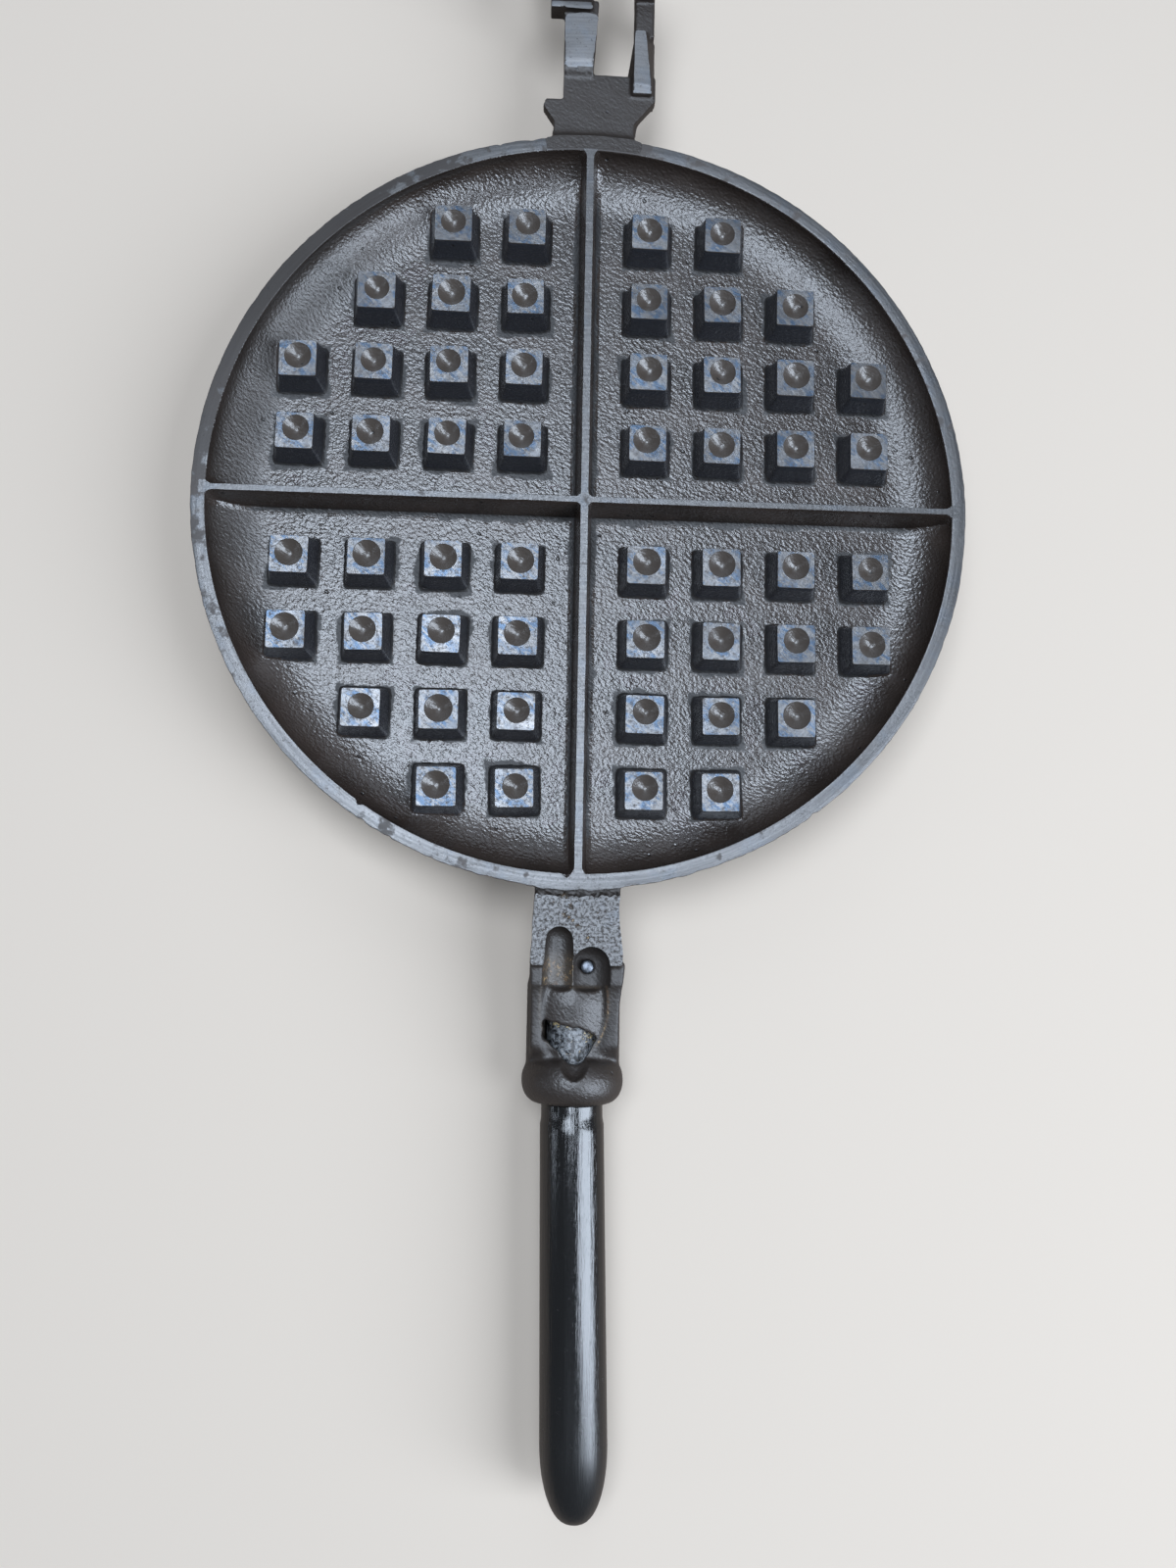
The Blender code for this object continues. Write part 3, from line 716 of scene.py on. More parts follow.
def make_pegs():
    """All the pegs of a bowl, each a little different in its size, turn and dimple."""
    high = peg_top_z - floor_z
    slope = (peg_base_width - peg_top_width) / 2
    pegs = []
    for across, along in peg_places():
        top_half = peg_top_width / 2 + some(MM, -0.12, 0.12)
        shift = (some(MM, -0.3, 0.3), dimple_shift + some(MM, -0.35, 0.35), 0)
        peg = make_peg(top_half, slope, some(dimple_radius, 0.93, 1.04), shift,
                       some(dimple_depth, 0.85, 1.05))
        turned_by(peg, radians(chance.uniform(-1.2, 1.2)), "Z")
        for point in peg.verts:
            x, y = point.co.x + across, point.co.y + along
            below = peg_top_z - point.co.z
            if hypot(point.co.x, point.co.y) > top_half - 0.05 * MM:
                below *= 1 - bowl_rise(x, y) / high
                rough = 0.3 * MM * min(below / high, 1) ** 3
                x += ripple((x, y, 0), 1.3 * MM) * rough
                y += ripple((y, x, MM), 1.3 * MM) * rough
            point.co = (x, y + plate_y, peg_top_z - below)
        pegs.append(peg)
    hollow_z = peg_top_z - dimple_depth - 0.3 * MM

    def finish(face):
        if face.normal.z > ground_slope and abs(face.center.z - peg_top_z) < ground_band:
            return peg_top_finish
        return drilled_finish * (face.normal.z > 0.4 and face.center.z > hollow_z)

    mesh = marked(gathered(pegs, "pegs"), "ground", finish)
    # The steep faces are marked as sides, which the iron gives a cooler painted shade.
    return marked(mesh, "side", lambda face: float(face.normal.z < 0.5))


# ---- The hinge ----

def wall_sector(degrees_wide):
    """A slice of the plate's wall just inside its skin, so that what is cast on flares into it."""
    inset = 0.12 * MM
    outside = [(radius - inset, height + inset)
               for radius, height in ((rim_radius - inset, rim_z - 0.3 * MM), *back_curve(8))]
    inside = [(radius - 3 * MM, height + 2 * MM) for radius, height in reversed(outside[1:])]
    return ring_slice([*outside, *inside, (rim_radius - 3 * MM, rim_z - 0.4 * MM)], degrees_wide)


def keel(root, end, end_y):
    """A tapering stiffener under a finger; root and end are its left and right sides there."""
    top_z = hinge_low_z + sink
    corners = [(x, y, top_z) for sides, y in ((root, hinge_root_y), (end, end_y)) for x in sides]
    for (left, right), y in ((root, hinge_root_y), (end, end_y - keel_draft)):
        corners += [(left + keel_draft, y, keel_low_z), (right - keel_draft, y, keel_low_z)]
    return hull(corners)


def hinge_sheet():
    """The flat block on the rim, seen from above, with the slot between its two fingers."""
    spur_y = rim_hinge_y + spur_from_rim
    spur_top_y = spur_y + spur_tip_height
    return prism((
        (-hinge_root_left, hinge_root_y), (hinge_root_right, hinge_root_y),
        (hinge_root_right, spur_y - spur_slope_height),
        (outer_finger_right, rim_hinge_y + outer_shoulder), (outer_finger_right, slot_y),
        (inner_finger_right, slot_y), (inner_finger_tip_right, finger_end_y),
        (-inner_finger_left, finger_end_y), (-inner_finger_left, spur_top_y),
        (spur_tip_width - spur_reach, spur_top_y), (-spur_reach, spur_y),
        (-hinge_root_left, spur_y - spur_slope_height)), hinge_low_z, hinge_top_z)


def inner_land():
    """The raised land along the inner finger, sagging where it starts."""
    start_y = slot_y + sink
    run = sink - inner_land_to_axis - start_y
    profile = ((-2.2 * MM, hinge_top_z - sink), (-0.4 * MM, rim_z - 1.6 * land_sag),
               (land_sag_length, rim_z + seam), (run, rim_z + grind / 2))
    return hull([(x, start_y + along, z) for along, z in profile for x in (
        -inner_finger_left,
        between(inner_finger_right, inner_finger_tip_right, max(along, 0) / run))])


def outer_ridge():
    """The ridge along the outer finger up to its eye, with a sagging land on a steep flank."""
    land_left = outer_finger_left + outer_land_inset
    land_y = rim_hinge_y + outer_land_start
    run = outer_end_y - land_y
    corners = []
    for along, z in ((0, rim_z - land_sag), (land_sag_length, rim_z + seam),
                     (run, rim_z + grind / 2)):
        left = between(land_left, eye_face_x, along / run)
        width = between(outer_land_width, outer_land_end_width, along / run)
        corners += [(left, land_y + along, z), (left + width, land_y + along, z)]
    foot_y = slot_y - outer_land_width
    flank = [(outer_finger_left, slot_y), (outer_finger_left, foot_y), (outer_right, foot_y),
             (outer_right, outer_end_y), (eye_face_x, outer_end_y)]
    corners += [(x, y, rim_z - outer_flank_height) for x, y in flank]
    return hull([*corners, *((x, y, hinge_low_z - eye_radius / 2) for x, y in flank[2:])])


def inner_end():
    """The inner finger's tip seen from the side: a ledge, a relief and the knuckle on the axis."""
    slope_y = lug_ledge - inner_land_to_axis
    meet = asin(arm_top_z / knuckle_radius)
    outline = [(-inner_land_to_axis, -knuckle_radius),
               *arc(knuckle_radius, -pi / 2, pi - meet, 40), (slope_y + lug_slope, arm_top_z),
               (slope_y, rim_z - seam), (-inner_land_to_axis, rim_z - seam)]
    return prism(outline, -inner_face_x, -knuckle_side_gap, across=True)


def outer_end():
    """The outer finger's tip seen from the side: an arm and an eye that is open at the top."""
    start_y = outer_end_y - sink
    hole_radius = trunnion_radius + fit_gap
    horn = asin(eye_horn_height / eye_radius)
    meet = asin(arm_top_z / eye_radius)
    outline = [(start_y, -eye_radius), *arc(eye_radius, -pi / 2, horn, 16),
               (hole_radius, eye_horn_height), *arc(hole_radius, 0, -pi, 24),
               (-hole_radius, eye_horn_height), *arc(eye_radius, pi - horn, pi - meet, 8),
               (start_y, arm_top_z)]
    return prism(outline, eye_face_x, eye_outer_x, across=True)


def hinge_saddle(degrees_wide, out):
    """Where the block runs up onto the rim, reaching this far out; it is ground level later."""
    saddle = ring_slice([
        (bowl_edge + 0.3 * MM, rim_z - 0.6 * MM), (bowl_edge + 0.5 * MM, rim_z + 0.1 * MM),
        (bowl_edge + 1.2 * MM, rim_z + grind), (rim_radius - 0.2 * MM, rim_z + grind),
        (rim_radius + out * 0.3, hinge_top_z + 1.3 * MM),
        (rim_radius + out * 0.6, hinge_top_z + 0.3 * MM),
        (rim_radius + out, hinge_top_z - 0.1 * MM), (rim_radius + out, hinge_low_z),
        (bowl_edge + 0.3 * MM, hinge_low_z)], degrees_wide)
    return turned_by(saddle, pi - radians(0.5), "Z", (0, plate_y, 0))


def make_hinge():
    """The block on the rim with its two fingers, fused to each other and flared into the plate."""
    inner_sides = (sink - inner_finger_left, sink - inner_finger_left + inner_keel_width)
    outer_root, outer_tip = ((right - sink - outer_keel_width, right - sink)
                             for right in (hinge_root_right, outer_right))
    mesh = cast_skin(gathered((
        hinge_sheet(), inner_land(), keel(inner_sides, inner_sides, finger_end_y - seam),
        keel(outer_root, outer_tip, outer_end_y - seam), outer_ridge(), inner_end(), outer_end(),
        rod(trunnion_radius, (-trunnion_end_x, sink - inner_face_x), (0, 0)),
        turned_by(wall_sector(22), pi, "Z", (0, plate_y, 0)),
        *(hinge_saddle(*shape) for shape in saddle_shapes)), "hinge"), 0.36 * MM, 5)
    mesh = roughened(roughened(mesh, 5 * MM, 0.08 * MM), 1.1 * MM, 0.008 * MM)
    for point in mesh.vertices:
        point.co.z = min(point.co.z, knuckle_radius - seam)
    stone = block((-inner_face_x - overrun, land_low_y, rim_z),
                  (outer_finger_right + overrun, -9.2 * MM, rim_z + 3 * MM))
    rim_stone = block((-20 * MM, rim_hinge_y - 8 * MM, rim_z + 0.05 * MM),
                      (20 * MM, rim_hinge_y + MM, 3 * MM))
    mesh = marked(cut(mesh, [stone, rim_stone]), "dull_and_shade", lambda face: 0.8)
    return marked(mesh, "ground", lambda face: land_finish * (
        face.normal.z > 0.9 and face.center.z > rim_z - land_sag - 0.1 * MM
        and land_low_y < face.center.y < -8.9 * MM))


# ---- Neck, socket, hood and collar ----

def hood_half(share):
    """Half the hood's width at a share of its length; it swells out, then narrows to a tip."""
    if share < hood_widest:
        return hood_half_width - hood_front_taper * (1 - max(share, 0) / hood_widest) ** 2
    past = min((share - hood_widest) / hood_tip_share, 1)
    return hood_half_width * (1 - past ** 2) ** 0.9


def socket_top(x, y):
    """Height of the rounded hood between two smooth lands that fall away towards its tip."""
    share = (hood_y - y) / hood_length
    ahead = max(share, 0)
    tip = max(share - hood_widest, 0)
    half = hood_half(share)
    away = abs(x)
    up = held((away - half) / (MM * (1.2 + 3.6 * tip)))
    end = held((share - 0.8) / 0.3)
    corner = held((away - 5 * MM) / (6 * MM))
    land = neck_top_z - shelf_step - land_fall * sqrt(ahead)
    land += MM * (1.6 * end ** 2 * up - 5.4 * eased(end) * eased(corner))
    land -= MM * 2.2 * tip * (1 - eased(up)) + 2.0 * max(half - away, 0)
    across = min(away / (half + 3.6 * MM), 1)
    crown = hood_radius - hood_front_drop * exp(-ahead * hood_length / (1.5 * MM))
    crown -= hood_sag * max(ahead - 0.25, 0)
    return max(land, handle_z + crown * (1 - across ** 2) ** 0.45)


def neck_dull_and_shade(face):
    """How far the skin is duller and darker: somewhat all over, and most in the hollows, where the
    darkening is painted shade: the trough by the rim, the pocket and the valleys beside the hood, a
    little less in the groove and where the neck meets the collar.
    """
    x, y, z = face.center
    if y > rim_neck_y - 4 * MM and z < neck_top_z - 0.1 * MM:
        return 1.0
    if abs(y - collar_y) < 2.6 * MM:
        return 0.8
    if y > collar_y + MM and z < neck_top_z - 0.3 * MM:
        if y > hood_y - MM:
            return 1.0 if x > -0.6 * MM or x < -8 * MM else 0.8
        return 1.0 if abs(x) > hood_half((hood_y - y) / hood_length) - 1.5 * MM else 0.6
    return 0.6


def neck_dust(face):
    """Where brown and ochre dust has lodged: the groove, the hood's edges and the pits."""
    x, y, z = face.center
    share = (hood_y - y) / hood_length
    if y > neck_end_y and z > neck_top_z - 0.05 * MM:
        return 0.0
    amounts = [0.66 * peak(hypot(x - spot_x * MM, y - neck_end_y - spot_y * MM), radius * MM)
               for spot_x, spot_y, radius in neck_pits]
    groove_end_y = neck_end_y + 4 * MM
    if -8 * MM < x < -0.6 * MM and hood_y < y < groove_end_y and z < neck_top_z - 1.2 * MM:
        amounts.append(0.5 * min((groove_end_y - y) / (3 * MM), 1))
    if 0 <= share < 0.82:
        half = hood_half(share)
        off = x - half + 0.6 * MM if x > 0 else hypot(x + half, 0.3 * MM)
        amounts.append(0.62 * peak(off, 0.4 * MM))
    if -1.5 * MM < x < 6.2 * MM:
        amounts.append(0.45 * peak(y - hood_y + 0.5 * MM, 0.4 * MM))
    return max(amounts)


def waisted(body):
    """The shelf or the hood drawn in between the neck and the collar, more on the right side."""
    for point in body.verts:
        share = held((neck_end_y - point.co.y) / (neck_end_y - collar_y))
        waist = MM * sin(pi * min(share, 0.62) / 1.24)
        point.co.x += 0.4 * waist if point.co.x < 0 else -1.1 * waist
    return body


def neck_bodies():
    """The neck, the shelf, the hood, the round socket, the collar and the wall they run into."""
    neck = prism([(x * MM, rim_neck_y + y * MM) for x, y in neck_sides],
                 rim_z - neck_thickness, neck_top_z + grind)
    shelf = prism((
        (neck_end_y + sink, handle_z - sink), (neck_end_y + sink, step_z),
        (neck_end_y - 2 * MM, step_z), (hood_y, step_z), (hood_y, shelf_z), (collar_y, shelf_z),
        (collar_y, handle_z - sink)), shelf_left, shelf_right, across=True)
    hood = loaf(socket_top, (shelf_left + seam, collar_y - 2.4 * MM),
                (shelf_right - seam, hood_y + 0.4 * MM), handle_z - sink)
    nose_y = hood_y + socket_nose_length
    socket = spun([
        (0, nose_y), (socket_nose_radius, nose_y), (socket_radius, hood_y),
        (socket_radius, collar_middle_y + sink), (0, collar_middle_y + sink)],
        turned_steps, handle_middle, along_y=True)
    bmesh.ops.bisect_plane(
        socket, geom=[*socket.verts, *socket.edges, *socket.faces], dist=MM / 1000,
        plane_co=(0, 0, shelf_z - sink), plane_no=(0, 0, 1), clear_outer=True)
    bmesh.ops.holes_fill(socket, edges=[edge for edge in socket.edges if edge.is_boundary])
    bead = [(between(grip_neck_radius, collar_radius, sin(a) ** 0.8),
             collar_middle_y + collar_length * cos(a) / 2) for a in fan(pi, 28)]
    collar = spun([(0, collar_y), *bead, (0, mouth_y)], turned_steps, handle_middle, along_y=True)
    return neck, waisted(shelf), waisted(hood), socket, collar, wall_sector(20)


def neck_cuts():
    """The stepped bore, the pin's hole, the groove and the pocket in the neck, the worn hole in
    the hood, the notch behind it and the trough between rim and neck."""
    bore_tip = rod(bore_tip_radius, (bore_step_y - overrun, bore_y), (0, handle_z), "Y")
    bore = rod(bore_radius, (mouth_y - overrun, bore_step_y), (0, handle_z), "Y")
    pin_wall = pin_radius + 0.08 * MM
    pin_hole = spun([(0, 0), (pin_wall, 0), (pin_wall, pin_low_z - fit_gap),
                     (0, pin_low_z - fit_gap)], 24, (pin_offset, pin_y, 0))
    groove_y = rim_neck_y - groove_start - groove_radius
    groove = round_ended_cut(groove_radius, (
        -groove_offset, groove_y, neck_top_z + groove_radius - groove_depth),
        groove_y - hood_y + seam, 0.6 * MM)
    pocket_y = rim_neck_y - pocket_start - pocket_radius
    pocket = round_ended_cut(pocket_radius, (
        pocket_offset, pocket_y, neck_top_z + pocket_radius - pocket_depth),
        pocket_y - hood_y + 2 * seam)
    worn_hole = prism([(across * worn_hole_reach, hood_y - along * hood_length)
                       for across, along in worn_hole_shares], handle_z + MM, rim_z)
    notch = spun([
        (0, collar_y + overrun), (notch_radius, collar_y + overrun), (notch_radius, collar_y),
        (notch_radius * 0.8, collar_y - notch_length * 0.35),
        (notch_radius * 0.45, collar_y - notch_length * 0.75), (0, collar_y - notch_length)],
        32, (0, 0, handle_z + notch_height), along_y=True)
    trough = ring_slice([
        (rim_radius - 6 * MM, rim_z + 3 * MM), (rim_radius - 6 * MM, neck_top_z - 0.9 * MM),
        (rim_radius + 1.1 * MM, neck_top_z - 0.9 * MM),
        (rim_radius + 1.5 * MM, neck_top_z - 0.6 * MM),
        (rim_radius + 1.9 * MM, neck_top_z + 0.3 * MM), (rim_radius + 1.9 * MM, rim_z + 3 * MM)],
        26)
    return bore_tip, bore, pin_hole, groove, pocket, worn_hole, notch, trough


def pit_cut(x, y, radius):
    """A lumpy ball that leaves one rusty pit in the neck's top."""
    pit = bmesh.new()
    bmesh.ops.create_icosphere(pit, subdivisions=3, radius=radius * MM)
    for point in pit.verts:
        point.co *= 1 + 0.9 * noise.noise(point.co / (0.8 * radius * MM) + Vector((x, y, 0)))
        point.co = (point.co.x + x * MM, point.co.y + neck_end_y + y * MM,
                    point.co.z * 0.6 + neck_top_z + 0.1 * MM)
    return pit


def make_neck():
    """The neck, the socket with its hood, and the collar, cast in one; then the cuts, and last the
    grinding of the neck's top."""
    mesh = cast_skin(gathered(neck_bodies(), "neck"), 0.42 * MM, 5)
    mesh = cast_skin(cut(mesh, neck_cuts()), 0.34 * MM, 7)
    mesh = roughened(mesh, 1.2 * MM, 0.006 * MM)
    for point in mesh.vertices:
        off = abs(hypot(point.co.x, point.co.y - plate_y) - rim_radius - MM) / (1.4 * MM)
        if off < 1 and point.co.z > rim_z - 2 * MM:
            ragged = ripple(point.co, 0.9 * MM) * 1.1 * MM * (1 - off)
            point.co.y += ragged
            point.co.z += min(ragged, 0)
    stone = block((-14 * MM, neck_end_y, neck_top_z),
                  (14 * MM, rim_neck_y + 6 * MM, rim_z + 3 * MM))
    mesh = cut(mesh, [stone, *(pit_cut(*pit) for pit in neck_pits)])
    mesh = marked(marked(mesh, "dust", neck_dust), "dull_and_shade", neck_dull_and_shade)
    return mark_ground(mesh, neck_top_z, filed_finish, from_y=neck_end_y - 0.2 * MM)


# ---- Handle and pin ----

def make_handle():
    """A turned tenon and grip; the old grip leans a little to one side."""
    shoulder_y = mouth_y - 0.05 * MM
    tip_y = mouth_y - fit_gap - grip_length
    nose_y = tip_y + grip_nose_length
    tenon_radius = bore_radius - tenon_gap
    tip_radius = bore_tip_radius - tenon_gap
    nose = [(between(grip_tip_radius, grip_radius, cos(a)), nose_y - grip_nose_length * sin(a))
            for a in fan(pi / 2, 16)]
    flank = [(between(grip_neck_radius, grip_radius, k / 48) - paint_step * (k < paint_step_rows),
              between(shoulder_y - grip_chamfer, nose_y, k / 48)) for k in range(48)]
    profile = [(0, bore_y - tenon_gap), (tip_radius, bore_y - tenon_gap),
               (tip_radius, bore_step_y - tenon_gap), (tenon_radius, bore_step_y - tenon_gap),
               *((tenon_radius, between(bore_step_y, shoulder_y, k / 56)) for k in range(1, 57)),
               (grip_neck_radius - grip_chamfer, shoulder_y), *flank, *nose, (0, tip_y)]
    body = spun(profile, 2 * turned_steps, handle_middle, along_y=True)
    for point in body.verts:
        if point.co.y < shoulder_y:
            point.co.x += (shoulder_y - point.co.y) * tan(grip_lean)
        else:
            middle = Vector((0, point.co.y, handle_z))
            whittled = ripple(point.co, 3.2 * MM) * 0.05 + ripple(point.co, 1.3 * MM) * 0.03
            point.co = middle + (point.co - middle) * min(0.985 + whittled, 1.02)
    mesh = marked(as_mesh(body, "handle"), "tenon", lambda face: float(face.center.y > shoulder_y))
    return marked(mesh, "dust", lambda face: max(
        0.75 * peak(hypot(face.center.x - x * MM, face.center.y - hood_y + y * MM), 1.5 * MM)
        for x, y in tenon_dust))


def make_pin():
    """A worn steel pin with a rounded top, driven down through the neck and the tenon."""
    dome = [(pin_radius * sin(a), rim_z - pin_top_below_rim - pin_dome * (1 - cos(a)))
            for a in fan(pi / 2, 8)]
    profile = [*dome, (pin_radius, pin_low_z), (0, pin_low_z)]
    return as_mesh(spun(profile, 32, (pin_offset, pin_y, 0)), "pin")


# ---- Materials ----

class Value:
    """What a node puts out; arithmetic on it adds the nodes that work it out."""

    def __init__(self, socket):
        self.socket = socket

    def __add__(self, other):
        return maths("ADD", self, other)

    def __sub__(self, other):
        return maths("SUBTRACT", self, other)

    def __rsub__(self, other):
        return maths("SUBTRACT", other, self)

    def __mul__(self, other):
        return maths("MULTIPLY", self, other)

    def __truediv__(self, other):
        return maths("DIVIDE", self, other)

    def __rtruediv__(self, other):
        return maths("DIVIDE", other, self)

    def __gt__(self, other):
        return maths("GREATER_THAN", self, other)

    def __abs__(self):
        return maths("ABSOLUTE", self)


def feed(inputs, values):
    """Set inputs by name or number; one that gets a Value is linked to it."""
    for name, value in values.items():
        if isinstance(value, Value):
            inputs[name].id_data.links.new(value.socket, inputs[name])
        else:
            inputs[name].default_value = value


def add(tree, kind, output, values=None, **settings):
    """One output of a new node with these settings and inputs."""
    item = tree.nodes.new(kind)
    for name, value in settings.items():
        setattr(item, name, value)
    feed(item.inputs, values or {})
    return Value(item.outputs[output])


def node(kind, values, output=0, **settings):
    """One output of a new node, in the tree of the first Value that it gets."""
    tree = next(value for value in values.values() if isinstance(value, Value)).socket.id_data
    return add(tree, kind, output, values, **settings)


def maths(operation, *values):
    return node("ShaderNodeMath", dict(enumerate(values)), operation=operation)


def larger(one, other):
    return maths("MAXIMUM", one, other)


def mixed(share, low, high, blend="MIX"):
    """A colour between two others."""
    return node("ShaderNodeMix", {"Factor": share, 6: low, 7: high}, 2,
                data_type="RGBA", blend_type=blend)


def layered(colour, *layers):
    """A colour under layers, each with its share."""
    for share, over in layers:
        colour = mixed(share, colour, over)
    return colour


def spread(value, low, high, to_low=0.0, to_high=1.0):
    """A value stretched from one span to another, and held inside it."""
    return node("ShaderNodeMapRange", {"Value": value, "From Min": low, "From Max": high,
                                       "To Min": to_low, "To Max": to_high})


def grain(place, size, detail=2.0, roughness=0.5, distortion=0.0):
    """Noise whose lumps are about this size in metres."""
    return node("ShaderNodeTexNoise", {
        "Vector": place, "Scale": 1 / size, "Detail": detail, "Roughness": roughness,
        "Distortion": distortion}, "Fac")


def cells(place, size, feature, **values):
    """Distances to scattered points that lie about this far apart in metres."""
    return node("ShaderNodeTexVoronoi", {"Vector": place, "Scale": 1 / size, **values}, "Distance",
                feature=feature)


def swept(place, turn, stretch):
    """Places turned by degrees and squeezed, so that a pattern there runs in streaks."""
    return node("ShaderNodeMapping", {
        "Vector": place, "Rotation": (0, 0, radians(turn)), "Scale": (stretch, 1, 1)},
        vector_type="TEXTURE")


def scaled(place, share):
    return node("ShaderNodeVectorMath", {0: place, "Scale": share}, operation="SCALE")


def parts_of(place):
    return [node("ShaderNodeSeparateXYZ", {0: place}, axis) for axis in "XYZ"]


def bumped(height, depth, strength, **under):
    """Relief of this depth, on top of the one given as Normal."""
    return node("ShaderNodeBump", {"Height": height, "Distance": depth, "Strength": strength,
                                   **under})


def new_group(name, **plain):
    """A node group, the place it takes, and the plain values it takes with their start values."""
    group = bpy.data.node_groups.new(name, "ShaderNodeTree")
    group.interface.new_socket("Vector", in_out="INPUT", socket_type="NodeSocketVector")
    for label, value in plain.items():
        socket = group.interface.new_socket(label, in_out="INPUT", socket_type="NodeSocketFloat")
        socket.default_value = value
    given = group.nodes.new("NodeGroupInput").outputs
    return group, *(Value(given[label]) for label in ("Vector", *plain))


def ended(group, **results):
    """The group with its results; the one called Colour is a colour, the others are values."""
    for label in results:
        kind = "NodeSocketColor" if label == "Colour" else "NodeSocketFloat"
        group.interface.new_socket(label, in_out="OUTPUT", socket_type=kind)
    feed(group.nodes.new("NodeGroupOutput").inputs, results)
    return group


def placed(group, place, **values):
    """The results of a node group at this place, by name."""
    item = place.socket.id_data.nodes.new("ShaderNodeGroup")
    item.node_tree = group
    feed(item.inputs, {"Vector": place, **values})
    return {socket.name: Value(socket) for socket in item.outputs}


def cast_grain_group():
    """Sand-cast skin: rounded grains, low lumps and a few pits."""
    group, place, size = new_group("cast grain", Size=0.0007)
    place = scaled(swept(place, -35, 1.4), MM / size)
    pits = spread(cells(place, 8.5 * MM, "F1"), 0.09, 0.04)
    height = grain(place, MM, 1.5, 0.55) + grain(place, 3 * MM, 1.5) * 0.28
    height = height - cells(place, 1.3 * MM, "SMOOTH_F1", Smoothness=0.6) * 0.3 - pits * 0.8
    return ended(group, Height=height, Mottle=grain(place, 20 * MM), Pits=pits)


def peg_soot_and_shade_group():
    """Burnt-on soot and painted shade round the feet of the pegs and along the ribs, with a ragged
    edge.
    """
    group, place, plate_middle = new_group("soot and painted shade at the feet", Middle=0.0)
    x, y, z = parts_of(place)
    across, along = abs(x), abs(abs(y) - plate_middle)
    offs, squares = [], []
    for side in (across, along):
        cell = larger(maths("ROUND", (side - first_peg_from_rib) / peg_pitch), 0.0)
        middle = cell * peg_pitch + first_peg_from_rib
        offs.append(abs(side - middle))
        squares.append(middle * middle)
    missing = squares[0] + squares[1] > peg_reach ** 2
    from_peg = larger(*offs) - peg_base_width / 2 + missing
    from_rib = maths("MINIMUM", across, along) - (long_rib_width / 2 + rib_draft)
    limit = (spread(grain(place, 1.6 * MM, 4.0, 0.65), 0.35, 0.7) * (0.9 * MM)
             + spread(grain(place, 11 * MM), 0.5, 0.72) * (1.4 * MM))
    mask = spread(maths("MINIMUM", from_peg, from_rib) - limit, 0.1 * MM, -0.3 * MM)
    floor = hinge_height + floor_z
    low = spread(z, floor + 1.2 * MM, floor + 0.5 * MM) * (z > floor - 0.5 * MM)
    return ended(group, Mask=mask * low)


def turning_marks_group():
    """Fine rings left by facing the casting on a lathe, round the middle of each plate."""
    group, place, middle, pitch = new_group("turning marks", Middle=0.0, Pitch=0.0003)
    x, y = parts_of(place)[:2]
    y = abs(y) - middle
    rings = node("ShaderNodeCombineXYZ", {
        "X": maths("SQRT", x * x + y * y) / pitch, "Y": maths("ARCTAN2", y, x) * 7.0})
    return ended(group, Height=grain(rings, 1, 3.0, 0.7), Streaks=grain(rings, 1 / 0.45, 3.0))


def rust_group():
    """Patches of brown rust and ochre dust that break up into flecks."""
    group, place, amount, size = new_group("rust and dust", Amount=0.2, Size=0.002)
    place = scaled(place, MM / size)
    edge = 0.86 - amount * 0.62
    tint = spread(grain(place, 2.3 * MM), 0.4, 0.62)
    return ended(group, Mask=spread(grain(place, MM, 5.0, 0.7, 0.4), edge, edge + 0.08),
                 Colour=mixed(tint, (0.085, 0.045, 0.024, 1), (0.33, 0.21, 0.09, 1)))


def new_material(name, *marks):
    """A material, its shader's inputs, the place on the iron, and the marks that faces carry."""
    material = bpy.data.materials.new(name)
    material.use_nodes = True
    tree = material.node_tree
    place = add(tree, "ShaderNodeTexCoord", "Object")
    return material, tree.nodes["Principled BSDF"].inputs, place, *(
        add(tree, "ShaderNodeAttribute", "Fac", attribute_name=mark) for mark in marks)


